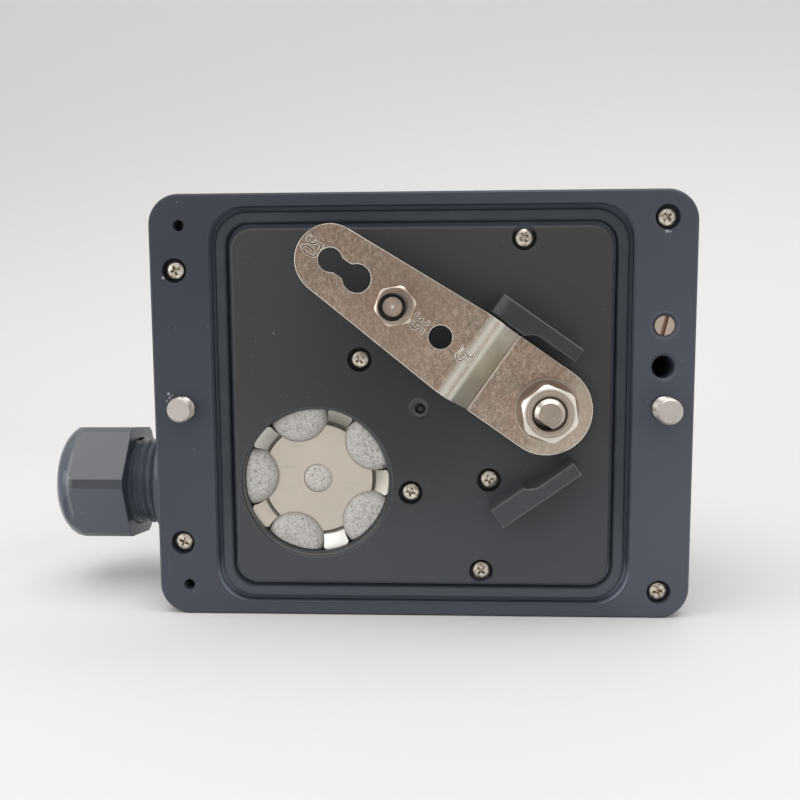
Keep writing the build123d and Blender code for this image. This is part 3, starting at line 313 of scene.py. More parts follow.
# Materials
class Finish:
    """A material under construction: a principled shader with a few procedural layers."""

    def __init__(self, name, color, roughness, metallic=0.0, specular=0.5):
        self.material = bpy.data.materials.new(name)
        self.material.use_nodes = True
        self.tree = self.material.node_tree
        self.shader = self.tree.nodes["Principled BSDF"]
        self.shader.inputs["Base Color"].default_value = (*color, 1)
        self.shader.inputs["Roughness"].default_value = roughness
        self.shader.inputs["Metallic"].default_value = metallic
        self.shader.inputs["Specular IOR Level"].default_value = specular
        self.place = self.node("ShaderNodeTexCoord").outputs["Object"]
        self.color = color
        self.normal = None

    def node(self, kind, **settings):
        made = self.tree.nodes.new(kind)
        for key, value in settings.items():
            setattr(made, key, value)
        return made

    def link(self, source, target):
        self.tree.links.new(source, target)

    def noise(self, scale, detail=3.0, stretch=(1, 1, 1), offset=0.0, roughness=0.5):
        """Noise with so many waves to the metre, stretched along an axis by a small factor."""
        mapping = self.node("ShaderNodeMapping")
        mapping.inputs["Scale"].default_value = stretch
        mapping.inputs["Location"].default_value = (offset, offset, offset)
        self.link(self.place, mapping.inputs["Vector"])
        field = self.node("ShaderNodeTexNoise")
        field.inputs["Scale"].default_value = scale
        field.inputs["Detail"].default_value = detail
        field.inputs["Roughness"].default_value = roughness
        self.link(mapping.outputs["Vector"], field.inputs["Vector"])
        return field.outputs["Fac"]

    def ramp(self, value, *stops):
        """Grey ramp of a value, from (position, level) stops."""
        ramp = self.node("ShaderNodeValToRGB")
        elements = ramp.color_ramp.elements
        while len(elements) < len(stops):
            elements.new(0.5)
        for element, (position, level) in zip(elements, stops):
            element.position = position
            element.color = (level, level, level, 1)
        self.link(value, ramp.inputs["Fac"])
        return ramp.outputs["Color"]

    def base(self):
        """The socket that carries the colour so far."""
        links = self.shader.inputs["Base Color"].links
        if links:
            return links[0].from_socket
        plain = self.node("ShaderNodeRGB")
        plain.outputs[0].default_value = (*self.color, 1)
        return plain.outputs[0]

    def tint(self, mask, color, strength):
        """Lays a colour over the base where the mask is light."""
        amount = self.math("MULTIPLY", mask, strength)
        mix = self.node("ShaderNodeMix", data_type="RGBA")
        self.link(amount, mix.inputs["Factor"])
        self.link(self.base(), mix.inputs[6])
        mix.inputs[7].default_value = (*color, 1)
        self.link(mix.outputs[2], self.shader.inputs["Base Color"])

    def patches(self, color, strength, scale, detail, low, high, stretch=(1, 1, 1), offset=0.0):
        """Lays a colour over the base where noise lies over a level, fully past a higher one."""
        field = self.noise(scale, detail, stretch, offset)
        self.tint(self.ramp(field, (low, 0), (high, 1)), color, strength)

    def vary_roughness(self, mask, low, high):
        """Roughness from one value to another with the mask."""
        spread = self.node("ShaderNodeMapRange")
        spread.inputs["To Min"].default_value = low
        spread.inputs["To Max"].default_value = high
        self.link(mask, spread.inputs["Value"])
        self.link(spread.outputs["Result"], self.shader.inputs["Roughness"])

    def bump(self, height, strength, distance_mm):
        """Adds relief over the layers below it."""
        bump = self.node("ShaderNodeBump")
        bump.inputs["Strength"].default_value = strength
        bump.inputs["Distance"].default_value = distance_mm * MM
        self.link(height, bump.inputs["Height"])
        if self.normal:
            self.link(self.normal, bump.inputs["Normal"])
        self.normal = bump.outputs["Normal"]
        self.link(self.normal, self.shader.inputs["Normal"])

    def rounded(self, radius_mm):
        """Softens hard edges in the shading."""
        bevel = self.node("ShaderNodeBevel", samples=4)
        bevel.inputs["Radius"].default_value = radius_mm * MM
        self.normal = bevel.outputs["Normal"]
        self.link(self.normal, self.shader.inputs["Normal"])

    def math(self, operation, first, second=0.0):
        made = self.node("ShaderNodeMath", operation=operation)
        for socket, value in zip(made.inputs, (first, second)):
            if isinstance(value, (int, float)):
                socket.default_value = value
            else:
                self.link(value, socket)
        return made.outputs[0]

    def both(self, first, second):
        """Light only where two masks are."""
        return self.math("MULTIPLY", first, second)

    def offset_from(self, x, z):
        """Offset in millimetres from an axis along Y."""
        axis = self.node("ShaderNodeVectorMath", operation="MULTIPLY_ADD")
        self.link(self.place, axis.inputs[0])
        axis.inputs[1].default_value = (1 / MM, 0, 1 / MM)
        axis.inputs[2].default_value = (-x, 0, -z)
        return axis.outputs[0]

    def distance_to(self, x, z):
        """Distance in millimetres from an axis along Y."""
        length = self.node("ShaderNodeVectorMath", operation="LENGTH")
        self.link(self.offset_from(x, z), length.inputs[0])
        return length.outputs["Value"]

    def along(self, x, z, angle):
        """Distance in millimetres from an axis along Y, measured in one direction of the face."""
        dot = self.node("ShaderNodeVectorMath", operation="DOT_PRODUCT")
        self.link(self.offset_from(x, z), dot.inputs[0])
        dot.inputs[1].default_value = (cos(radians(angle)), 0, sin(radians(angle)))
        return dot.outputs["Value"]

    def depth(self):
        """Depth in millimetres below the mounting face."""
        split = self.node("ShaderNodeSeparateXYZ")
        self.link(self.place, split.inputs[0])
        return self.math("DIVIDE", split.outputs["Y"], MM)

    def within(self, reach_x, reach_z, soft=0.4):
        """One inside an upright rectangle about the origin."""
        across = self.band(self.along(0, 0, 0), -reach_x, reach_x, soft)
        return self.both(across, self.band(self.along(0, 0, 90), -reach_z, reach_z, soft))

    def disc(self, x, z, radius, soft):
        """One inside a circle about x, z."""
        return self.band(self.distance_to(x, z), -1, radius, soft)

    def band(self, distance, start, end, soft=0.15):
        """One between two distances and nothing past them."""
        rise = self.node("ShaderNodeMapRange", interpolation_type="SMOOTHSTEP")
        rise.inputs["From Min"].default_value = start - soft
        rise.inputs["From Max"].default_value = start + soft
        self.link(distance, rise.inputs["Value"])
        fall = self.node("ShaderNodeMapRange", interpolation_type="SMOOTHSTEP")
        fall.inputs["From Min"].default_value = end + soft
        fall.inputs["From Max"].default_value = end - soft
        self.link(distance, fall.inputs["Value"])
        return self.both(rise.outputs["Result"], fall.outputs["Result"])


def flange_paint():
    """Dark blue-grey coat over the castings: a fine grain, dust and chips, painted light towards the lower
    right and in the grooves and holes, and darker along its bottom edge.
    """
    paint = Finish("flange_coat", (0.027, 0.032, 0.047), 0.5, specular=0.45)
    paint.rounded(0.1)
    paint.patches((0.036, 0.041, 0.058), 0.6, 28, 3, 0.35, 0.7)
    # Lighter and bluer towards the lower right: painted light from the table.
    low = paint.ramp(paint.math("DIVIDE", paint.along(-45, 42, -55), 105), (0.10, 0), (1, 1))
    paint.tint(low, (0.072, 0.082, 0.108), 0.9)
    paint.patches((0.30, 0.30, 0.31), 0.35, 900, 2, 0.72, 0.77, offset=0.3)
    paint.patches((0.2, 0.2, 0.2), 0.15, 500, 2, 0.66, 0.72, (1, 1, 0.05), 0.1)
    face = paint.band(paint.depth(), -1, 0.2, 0.05)
    for x, z, radius in CHIPS:
        paint.tint(paint.both(face, paint.disc(x, z, radius, 0.12)), (0.36, 0.38, 0.42), 0.75)
    # Paler inside the groove, most towards the foot: painted light that lifts the groove's shade.
    sunk_painted_light = paint.band(paint.depth(), 0.35, 9, 0.15)
    groove = paint.both(sunk_painted_light, paint.within(42.5, 39.5))
    paint.tint(groove, (0.125, 0.145, 0.19), 1.0)
    foot = paint.band(paint.along(0, 0, -90), 32, 60, 2)
    paint.tint(paint.both(groove, foot), (0.30, 0.34, 0.42), 1.0)
    sill = paint.band(paint.along(0, 0, -90), 38, 43, 1)
    paint.tint(paint.both(sill, paint.within(40, 60, 4)), (0.040, 0.048, 0.062), 0.5)
    # Paler inside the holes: painted light that lifts their shade.
    for x, z, radius in HOLES:
        paint.tint(paint.both(sunk_painted_light, paint.disc(x, z, radius, 0.1)), (0.085, 0.098, 0.14), 1.0)
    seat_rim = paint.band(paint.distance_to(*PLUG), 2.55, 2.85, 0.1)
    paint.tint(paint.both(face, seat_rim), (0.12, 0.13, 0.15), 0.4)
    paint.vary_roughness(paint.noise(60, 3, offset=0.6), 0.42, 0.58)
    paint.bump(paint.noise(2600, 2), 0.12, 0.02)
    return paint.material


def moulding(name, color, lighter, roughness, grain=3000, grain_strength=0.2, specular=0.5):
    """Plastic with a spark-eroded grain, faint clouds and a little dust, still open to more layers."""
    plastic = Finish(name, color, roughness, specular=specular)
    plastic.rounded(0.2)
    plastic.patches(lighter, 0.5, 35, 3, 0.35, 0.7)
    plastic.patches((0.32, 0.32, 0.32), 0.35, 1100, 2, 0.7, 0.76, offset=0.7)
    plastic.vary_roughness(plastic.noise(80, 2, offset=0.2), roughness - 0.06, roughness + 0.08)
    plastic.bump(plastic.noise(grain, 2), grain_strength, 0.02)
    return plastic


def moulded_plastic(*settings, **more):
    """Plain moulded plastic."""
    return moulding(*settings, **more).material


def platform_plastic():
    """Platform moulding: bluer towards its foot as painted light, darker about its middle, paler in the
    groove as painted light, with its gate mark, a painted highlight on one side of the vent's rim, painted
    shade on the upper rib and a painted highlight on its far end."""
    plastic = moulding("platform_moulding", (0.031, 0.032, 0.035), (0.038, 0.039, 0.043), 0.52)
    # Bluer and lighter towards the foot: painted light from the table.
    low = plastic.ramp(plastic.math("DIVIDE", plastic.along(0, 36, -90), 72), (0.45, 0), (1, 1))
    plastic.tint(low, (0.053, 0.060, 0.073), 0.85)
    middle = plastic.band(plastic.distance_to(-4, 2), -40, 18, 14)
    plastic.tint(middle, (0.020, 0.020, 0.020), 0.8)
    gate = plastic.band(plastic.distance_to(*GATE), 1.0, 1.9, 0.25)
    plastic.tint(gate, (0.10, 0.10, 0.104), 0.75)
    # A painted highlight on one side of the vent recess's rim.
    painted_light_side = plastic.band(plastic.along(VENT_X, VENT_Z, 110), -5, 20, 3)
    brink_highlight = plastic.band(plastic.distance_to(VENT_X, VENT_Z), 14.9, 15.35, 0.1)
    plastic.tint(plastic.both(painted_light_side, brink_highlight), (0.075, 0.075, 0.078), 0.9)
    # The upper rib in painted shade under the lever, with a painted highlight on its far end.
    rib = plastic.band(plastic.depth(), -20, RIB_TOP + 0.1, 0.1)
    upper_rib = plastic.both(rib, plastic.band(plastic.along(0, 0, 90), 4, 60, 2))
    plastic.tint(upper_rib, (0.024, 0.025, 0.027), 0.75)
    rib_end_highlight = plastic.band(plastic.along(SHAFT_X, 0, LEVER_ANGLE), *RIB_FAR_END, 0.9)
    plastic.tint(plastic.both(upper_rib, rib_end_highlight), (0.085, 0.086, 0.090), 0.9)
    # Paler walls in the groove: painted light that lifts their shade.
    wall = plastic.math("SUBTRACT", 1.0, plastic.within(36.9, 34.4, 0.2))
    sunk_painted_light = plastic.band(plastic.depth(), 0.3, 9, 0.15)
    plastic.tint(plastic.both(sunk_painted_light, wall), (0.13, 0.148, 0.19), 1.0)
    return plastic.material


def rib_edge_highlight_plastic():
    """Paler chamfers of the stop ribs as a painted highlight, palest along the lower rib's outer edge as
    painted light from the table.
    """
    plastic = moulding("rib_edge_highlight_moulding", (0.058, 0.059, 0.062), (0.095, 0.095, 0.10), 0.45)
    outer = plastic.band(plastic.along(SHAFT_X, 0, 90 - LEVER_ANGLE), *RIB_OUTER_EDGE, 0.1)
    plastic.tint(outer, (0.145, 0.145, 0.15), 0.9)
    return plastic.material


def sleeve_plastic():
    """Black sleeve whose side is tinted brownish, a painted reflection of the lever."""
    black, clouds = (0.004, 0.004, 0.004), (0.006, 0.006, 0.006)
    plastic = moulding("sleeve_moulding", black, clouds, 0.4, specular=0.2)
    # Brownish side: a painted reflection of the lever.
    plastic.tint(plastic.band(plastic.depth(), -20.4, 0, 0.1), (0.075, 0.062, 0.052), 0.9)
    return plastic.material


def step_plastic():
    """The platform's shallow step round the disc, paler than the platform as painted light, with more
    painted light on its lower rim and its upper-left inner wall.
    """
    plastic = moulding("step_moulding", (0.040, 0.041, 0.043), (0.050, 0.050, 0.052), 0.45)
    # Painted light on the step's lower rim.
    foot = plastic.band(plastic.along(*VENT_SEAT, -80), 9.5, 20, 3)
    rim = plastic.band(plastic.distance_to(VENT_X, VENT_Z), 14.55, 20, 0.15)
    plastic.tint(plastic.both(foot, rim), (0.125, 0.125, 0.128), 0.9)
    # Painted light on the upper-left side of the step's inner wall.
    painted_light_side = plastic.band(plastic.along(*VENT_SEAT, 110), -5, 20, 3)
    wall = plastic.band(plastic.distance_to(*VENT_SEAT), 14, 14.65, 0.1)
    plastic.tint(plastic.both(painted_light_side, wall), (0.115, 0.115, 0.115), 0.9)
    return plastic.material


def gland_plastic():
    """Glossy grey polyamide with painted light and shade: a paler upper flat, a dark corner, painted light
    on the shaded open end, and on the dome a painted highlight and a dark, bluish painted reflection.
    """
    plastic = moulding("gland_moulding", (0.080, 0.092, 0.114), (0.092, 0.103, 0.125), 0.24, 2200, 0.08)
    rise = plastic.along(0, GLAND_Z, 90)
    reach = plastic.along(0, 0, 180)
    flats = plastic.band(reach, 64.2, 76.0, 0.1)
    # Upper flat paler: painted light from above.
    painted_light_upper_flat = plastic.both(plastic.band(rise, 2.7, 20, 0.1), flats)
    plastic.tint(painted_light_upper_flat, (0.138, 0.140, 0.148), 0.75)
    # Corner between the flats darkened: painted shade.
    corner = plastic.both(plastic.band(rise, 0.75, 2.7, 0.1), flats)
    plastic.tint(corner, (0.050, 0.055, 0.064), 0.8)
    # Paler open end and neck: painted light that lifts their shade.
    open_end = plastic.band(reach, GLAND_COLLAR + 0.2, GLAND_CAP_START + 0.1, 0.04)
    plastic.tint(open_end, (0.105, 0.124, 0.152), 0.9)
    # A painted highlight line across the dome.
    line = plastic.both(plastic.band(reach, 75.7, 76.3, 0.2), plastic.band(rise, -6, 8, 1.5))
    plastic.tint(line, (0.20, 0.215, 0.24), 0.6)
    # A dark, bluish patch in the dome's middle: a painted reflection.
    dark_reflection = plastic.both(plastic.band(reach, 76.6, 78.8, 0.4), plastic.band(rise, -6, 7, 3))
    plastic.tint(dark_reflection, (0.045, 0.056, 0.088), 0.8)
    return plastic.material


def steel(name, color, dark, roughness, turned=None, spots=None):
    """Metal with a fine grain and mottling, and turning rings or tarnish spots where given."""
    metal = Finish(name, color, roughness, metallic=1.0)
    metal.patches(dark, 0.55, 260, 4, 0.3, 0.75)
    metal.patches(dark, 0.5, 2400, 2, 0.4, 0.8)
    if spots:
        metal.patches(spots, 0.8, 1500, 2, 0.50, 0.60, offset=0.4)
    metal.vary_roughness(metal.noise(900, 3, offset=0.4), roughness - 0.08, roughness + 0.12)
    metal.bump(metal.noise(4200, 2), 0.18, 0.01)
    if turned:
        rings = metal.math("SINE", metal.math("MULTIPLY", metal.distance_to(*turned), 26))
        metal.bump(rings, 0.25, 0.012)
    return metal.material


def rubber():
    """Elastomer of the seals with a dusty bloom, lighter towards its foot as painted light from the table.
    """
    elastomer = Finish("seal_elastomer", (0.024, 0.032, 0.042), 0.55)
    elastomer.patches((0.05, 0.058, 0.068), 0.4, 300, 3, 0.45, 0.8)
    # Lighter towards the foot: painted light from the table.
    foot = elastomer.band(elastomer.along(0, 0, -90), 24, 70, 12)
    elastomer.tint(foot, (0.085, 0.098, 0.12), 0.6)
    elastomer.bump(elastomer.noise(2200, 2), 0.1, 0.02)
    return elastomer.material


def porous():
    """Sintered filter: pale fine grains with dark pores and short cracks, with a brown painted shade where
    its lobes dip.
    """
    grainy = Finish("filter_grains", (0.54, 0.525, 0.505), 0.9, specular=0.2)
    grainy.patches((0.66, 0.65, 0.64), 0.5, 900, 2, 0.40, 0.65, offset=0.5)
    from_axis = grainy.distance_to(*VENT_SEAT)
    grainy.tint(grainy.band(from_axis, -5, 3, 0.4), (0.74, 0.69, 0.63), 0.6)
    grainy.patches((0.32, 0.30, 0.28), 0.55, 3200, 3, 0.46, 0.60, offset=0.4)
    # Darker and browner where the lobes dip towards the washer: painted shade.
    low = grainy.band(grainy.depth(), 2.5, 9, 1.0)
    dip_shade = grainy.both(low, grainy.band(from_axis, 4, 20, 0.5))
    grainy.tint(dip_shade, (0.26, 0.21, 0.17), 0.6)
    cracks = grainy.noise(1900, 4, (1, 1, 0.6), 0.9, 0.65)
    grainy.tint(grainy.ramp(cracks, (0.555, 0), (0.62, 1)), (0.16, 0.145, 0.13), 0.55)
    grainy.patches((0.07, 0.06, 0.05), 0.7, 1250, 2, 0.69, 0.72, offset=0.2)
    grainy.bump(cracks, 0.4, 0.14)
    return grainy.material


def washer_strip():
    """Satin spring strip with a painted shade along its bend, and painted highlights and shades on its lips
    by the way they face.
    """
    strip = Finish("washer_strip", (0.67, 0.605, 0.53), 0.40, metallic=1.0)
    strip.patches((0.58, 0.52, 0.455), 0.5, 90, 3, 0.35, 0.7)
    strip.patches((0.44, 0.40, 0.35), 0.35, 700, 3, 0.60, 0.75, (0.25, 1, 1), 0.2)
    from_axis = strip.distance_to(*VENT_SEAT)
    lips = strip.band(from_axis, VENT_VALLEY_R, 20, 0.2)
    # Each lip painted lighter or darker by the way it faces the light: painted highlights and shades.
    for angle, color, strength in (
        (69.5, (0.36, 0.37, 0.325), 0.8),
        (141.5, (0.56, 0.57, 0.52), 0.8),
        (-70, (0.80, 0.795, 0.76), 0.9),
        (-5, (0.48, 0.465, 0.41), 0.9),
    ):
        lip = strip.band(strip.along(*VENT_SEAT, angle), 10, 20, 1)
        strip.tint(strip.both(lips, lip), color, strength)
    # A dark ring in the bend's valley: painted shade.
    bend = strip.band(from_axis, VENT_VALLEY_R - 0.35, VENT_VALLEY_R + 0.35, 0.12)
    strip.tint(bend, (0.11, 0.11, 0.095), 0.8)
    strip.vary_roughness(strip.noise(500, 3, offset=0.4), 0.34, 0.46)
    return strip.material


def lever_nickel():
    """Dull nickel over rolled sheet: warm and green mottling, fine pits, and painted light on the bend: a
    paler slope and painted highlights on its crest and root.
    """
    metal = Finish("lever_nickel", NICKEL, 0.36, metallic=1.0)
    metal.patches((0.46, 0.315, 0.245), 0.8, 80, 3, 0.40, 0.58)
    metal.patches((0.42, 0.385, 0.315), 0.7, 130, 3, 0.46, 0.60, offset=0.5)
    metal.patches((0.36, 0.285, 0.225), 0.45, 620, 3, 0.40, 0.64, offset=0.3)
    metal.patches(NICKEL_DARK, 0.75, 1700, 3, 0.44, 0.60, (1, 1, 0.55), 0.2)
    metal.patches((0.24, 0.185, 0.145), 0.55, 3200, 3, 0.45, 0.60, (0.6, 1, 1), 0.8)
    metal.patches((0.74, 0.62, 0.52), 0.4, 2600, 3, 0.52, 0.66, (1, 1, 0.6), 0.1)
    reach = metal.along(SHAFT_X, 0, LEVER_ANGLE)
    metal.tint(metal.band(reach, 26, 44, 5), (0.42, 0.30, 0.23), 0.35)
    metal.tint(metal.band(reach, -12, -1, 3), (0.66, 0.60, 0.50), 0.4)
    # Painted light on the bend: a paler slope, a highlight on the crest, and a white, non-metal highlight
    # along the root.
    metal.tint(metal.band(reach, *BEND_SLOPE, 0.4), (0.66, 0.65, 0.56), 0.9)
    metal.tint(metal.band(reach, *BEND_CREST, 0.8), (0.76, 0.75, 0.68), 0.7)
    root_highlight = metal.band(reach, *BEND_ROOT, 0.1)
    metal.tint(root_highlight, (0.72, 0.69, 0.62), 1.0)
    metal.link(metal.math("SUBTRACT", 1.0, root_highlight), metal.shader.inputs["Metallic"])
    metal.vary_roughness(metal.noise(700, 3, offset=0.4), 0.28, 0.46)
    metal.bump(metal.noise(3200, 3), 0.45, 0.016)
    return metal.material


def ringed_steel(name, axis, color, roughness, rings):
    """Turned steel about an axis, with rings of other shades."""
    metal = Finish(name, color, roughness, metallic=1.0)
    from_axis = metal.distance_to(*axis)
    metal.patches(tuple(0.72 * level for level in color), 0.6, 700, 3, 0.4, 0.7)
    for start, end, shade, strength in rings:
        metal.tint(metal.band(from_axis, start, end, 0.1), shade, strength)
    metal.bump(metal.math("SINE", metal.math("MULTIPLY", from_axis, 21)), 0.35, 0.012)
    metal.bump(metal.noise(4200, 2), 0.15, 0.01)
    return metal.material


def plug_steel():
    """Dull coppery plug with a wide brown slot."""
    metal = Finish("plug_steel", (0.60, 0.50, 0.42), 0.45, metallic=1.0)
    metal.patches((0.50, 0.40, 0.33), 0.6, 900, 3, 0.4, 0.7)
    slot = metal.band(metal.along(*PLUG, PLUG_SLOT - 90), -0.42, 0.42, 0.08)
    metal.tint(slot, (0.30, 0.17, 0.11), 0.8)
    metal.bump(metal.noise(2200, 3), 0.3, 0.02)
    return metal.material


def window_clear():
    """Clear plastic of the window, a little smoked, with faint wiping marks."""
    clear = Finish("window_clear", (0.80, 0.84, 0.84), 0.08)
    clear.shader.inputs["Transmission Weight"].default_value = 0.92
    clear.shader.inputs["IOR"].default_value = 1.49
    clear.vary_roughness(clear.noise(90, 3, (1, 1, 0.2)), 0.03, 0.12)
    return clear.material


def board_lacquer():
    """Green solder mask with pale traces."""
    board = Finish("board_lacquer", (0.02, 0.12, 0.06), 0.35)
    brick = board.node("ShaderNodeTexBrick")
    brick.inputs["Scale"].default_value = 260
    turned = board.node("ShaderNodeMapping")
    turned.inputs["Rotation"].default_value = (pi / 2, 0, 0)
    board.link(board.place, turned.inputs["Vector"])
    board.link(turned.outputs["Vector"], brick.inputs["Vector"])
    board.tint(brick.outputs["Fac"], (0.05, 0.24, 0.12), 0.7)
    board.bump(brick.outputs["Fac"], 0.3, 0.03)
    return board.material


MATERIALS = {
    "flange_metal": flange_paint(),
    "cover_plastic": platform_plastic(),
    "seal_rubber": rubber(),
    "screw_steel": steel("screw_plating", BRIGHT, BRIGHT_DARK, 0.28),
    "lever_steel": lever_nickel(),
    "filter_porous": porous(),
    "spring_steel": steel("spring_strip", (0.78, 0.74, 0.68), (0.62, 0.57, 0.51), 0.34),
    "sleeve_plastic": sleeve_plastic(),
    "gland_plastic": gland_plastic(),
    "bush_bronze": steel("bush_bronze", (0.62, 0.44, 0.24), (0.40, 0.28, 0.15), 0.45),
    "window_clear": window_clear(),
    "board_green": board_lacquer(),
    "module_plastic": moulded_plastic("module_moulding", (0.02, 0.02, 0.022), (0.035, 0.035, 0.037), 0.5),
    "display_glass": moulded_plastic(
        "display_face", (0.30, 0.34, 0.27), (0.33, 0.37, 0.30), 0.2, 1500, 0.02
    ),
    "terminal_plastic": moulded_plastic("terminal_moulding", (0.05, 0.22, 0.09), (0.07, 0.26, 0.11), 0.45),
    "magnet_metal": steel("magnet_plating", (0.70, 0.69, 0.66), (0.55, 0.54, 0.52), 0.25),
    "spacer_metal": steel("spacer_brass", (0.68, 0.58, 0.34), (0.52, 0.43, 0.24), 0.35),
}


OWN_MATERIALS = {
    "output_plug": plug_steel(),
    "lever_nut": ringed_steel("nut_steel", (SHAFT_X, 0), TURNED, 0.30, NUT_RINGS),
    "pickup_shaft": ringed_steel("shaft_steel", (SHAFT_X, 0), (0.44, 0.375, 0.31), 0.28, SHAFT_RINGS),
    "disc_spring": ringed_steel("disc_steel", (SHAFT_X, 0), (0.30, 0.225, 0.17), 0.34, DISC_SPRING_RINGS),
    "follower_pin": ringed_steel("pin_steel", (PIN_X, PIN_Z), (0.56, 0.455, 0.37), 0.32, PIN_RINGS),
}


def dress_solids():
    """Gives every solid a material of its own, or else that of its slot in the record."""
    slots = {part["node"]: part["material_slot"] for part in frame["record"]["subparts"]}
    for name, solid in frame["nodes"].items():
        solid.data.materials.clear()
        solid.data.materials.append(OWN_MATERIALS.get(name) or MATERIALS[slots[name]])
    # The ribs' chamfers take the paler material, a painted highlight.
    ribs = frame["nodes"]["mechanism_cover"].data
    ribs.materials.append(rib_edge_highlight_plastic())
    for face in ribs.polygons:
        if face.center.y < RIB_TOP * MM and abs(face.normal.y) < 0.9:
            face.material_index = 1


def turned_steel(name, x, z):
    """Bright steel with turning rings about an axis at x, z."""
    return steel(name, (0.70, 0.655, 0.61), (0.50, 0.455, 0.41), 0.36, turned=(x, z))


# Lever with rounded edges and stamped figures
def stamp(figures, at, aside, height, depth=0.0, rim=0.0):
    """Figures that run across the lever, their tops towards the shaft: a cutter, or a thin raised rim."""
    curve = bpy.data.curves.new("figures_" + figures, "FONT")
    curve.body = figures
    curve.size = height * MM
    curve.align_x = "CENTER"
    curve.align_y = "CENTER"
    curve.resolution_u = 4
    if rim:
        curve.fill_mode = "NONE"
        curve.bevel_depth = rim * MM
        curve.bevel_resolution = 1
    else:
        curve.extrude = depth * MM
    letters = put_in_scene("figures_" + figures, curve)
    seat = out_of_face(SHAFT_X, 0, LEVER_ANGLE) @ Matrix.Translation((at * MM, aside * MM, LEVER_TOP * MM))
    place = seat @ Matrix.Rotation(pi / 2, 4, "Z")
    depsgraph = bpy.context.evaluated_depsgraph_get()
    mesh = bpy.data.meshes.new_from_object(letters.evaluated_get(depsgraph))
    bpy.data.objects.remove(letters)
    mesh.transform(place @ Matrix.Diagonal((FIGURE_FIT * FIGURE_NARROW, FIGURE_FIT, 1, 1)))
    bm = bmesh.new()
    bm.from_mesh(mesh)
    bmesh.ops.remove_doubles(bm, verts=bm.verts, dist=1e-7)
    bm.to_mesh(mesh)
    bm.free()
    return put_in_scene("stamp_" + figures, mesh)


def make_lever():
    # Pale steel on the lever's rounded edges and the figures' rims: a painted highlight.
    edge_highlight = steel("lever_edge", (0.92, 0.87, 0.80), (0.74, 0.67, 0.58), 0.25)
    lever = copy_of("pickup_lever", "lever_plate", LEVER_EDGE, MATERIALS["lever_steel"], edge_highlight)
    rims = []
    for figures, at, aside, height in FIGURES:
        cut(lever, stamp(figures, at, aside, height, depth=FIGURE_DEPTH))
        rim = stamp(figures, at, aside, height, rim=FIGURE_RIM)
        rim.data.materials.clear()
        rim.data.materials.append(edge_highlight)
        rims.append(rim)
    lever = join([lever, *rims], "lever_plate")
    stands_for(lever, "pickup_lever", "lever")


# Vent: spring washer with turned-up lips, and the porous disc that swells through its lobes
def lobe_centres():
    """Centres of the washer's round cut-outs, about the vent's axis."""
    for lobe in range(VENT_LOBES):
        angle = radians(VENT_TAB_ANGLE + (lobe + 0.5) * 360 / VENT_LOBES)
        yield VENT_LOBE_AT * cos(angle), VENT_LOBE_AT * sin(angle)


def lip_outline():
    """Outline that rounds off the outer corners of the washer's lips."""
    share = 360 / VENT_LOBES
    corner = VENT_TAB_ROUND / VENT_RIM_R * 180 / pi
    for step in range(720):
        angle = step / 2
        aside = abs((angle - VENT_TAB_ANGLE + share / 2) % share - share / 2)
        past = min(1, max(0, (aside - VENT_TAB_HALF + corner) / corner))
        radius = VENT_RIM_R - VENT_TAB_ROUND * (1 - sqrt(1 - past * past))
        yield radius * cos(radians(angle)), radius * sin(radians(angle))


def make_washer():
    top = [(VENT_CENTRE_R, -3.1), (10.7, -3.1), (11.0, -3.2), (11.2, -3.5), (VENT_VALLEY_R, -3.62)]
    top += [(11.6, -3.5), (11.9, -3.2), (12.6, -2.55), (13.4, -1.9), (14.0, -1.5), (14.5, -1.3)]
    bottom = [(14.5, -1.6), (13.5, -2.2), (12.4, -3.1), (11.8, -3.7), (VENT_VALLEY_R, -3.9)]
    bottom += [(11.0, -3.7), (10.7, -3.5), (VENT_CENTRE_R, -3.5)]
    bm = bmesh.new()
    lathe(bm, top + bottom + top[:1], sides=180)
    strip = washer_strip()
    washer = mesh_object("vent_washer", bm, out_of_face(*VENT_SEAT), strip)
    bm = bmesh.new()
    prism(bm, list(lip_outline()), -6, 1)
    cut(washer, mesh_object("lip_outline", bm, out_of_face(*VENT_SEAT), strip), "INTERSECT")
    bm = bmesh.new()
    for x, y in lobe_centres():
        prism(bm, [(x + a, y + b) for a, b in polygon(72, VENT_LOBE_R)], -6, 1)
    cut(washer, mesh_object("lobe_cutter", bm, out_of_face(*VENT_SEAT), strip))
    resharpen(round_edges(washer, 0.06, 50))
    stands_for(washer, "vent_spring_washer", "housing")


def swell(x, y):
    """Height of the porous disc at a point about the vent's axis."""
    rise = 0.0
    for lobe_x, lobe_y in lobe_centres():
        inside = VENT_LOBE_R - sqrt((x - lobe_x) ** 2 + (y - lobe_y) ** 2)
        if inside > 0:
            rise = max(rise, LOBE_SWELL * sqrt(1 - (1 - min(1, inside / LOBE_SLOPE)) ** 2))
    radius = sqrt(x * x + y * y)
    if radius < VENT_CENTRE_R:
        rise = max(rise, CENTRE_SWELL * sqrt(1 - (radius / VENT_CENTRE_R) ** 2))
    edge = min(1, max(0, (VENT_RIM_R - radius) / DISC_EDGE))
    return DISC_FLOOR + rise - DISC_EDGE * (1 - sqrt(1 - (1 - edge) ** 2))


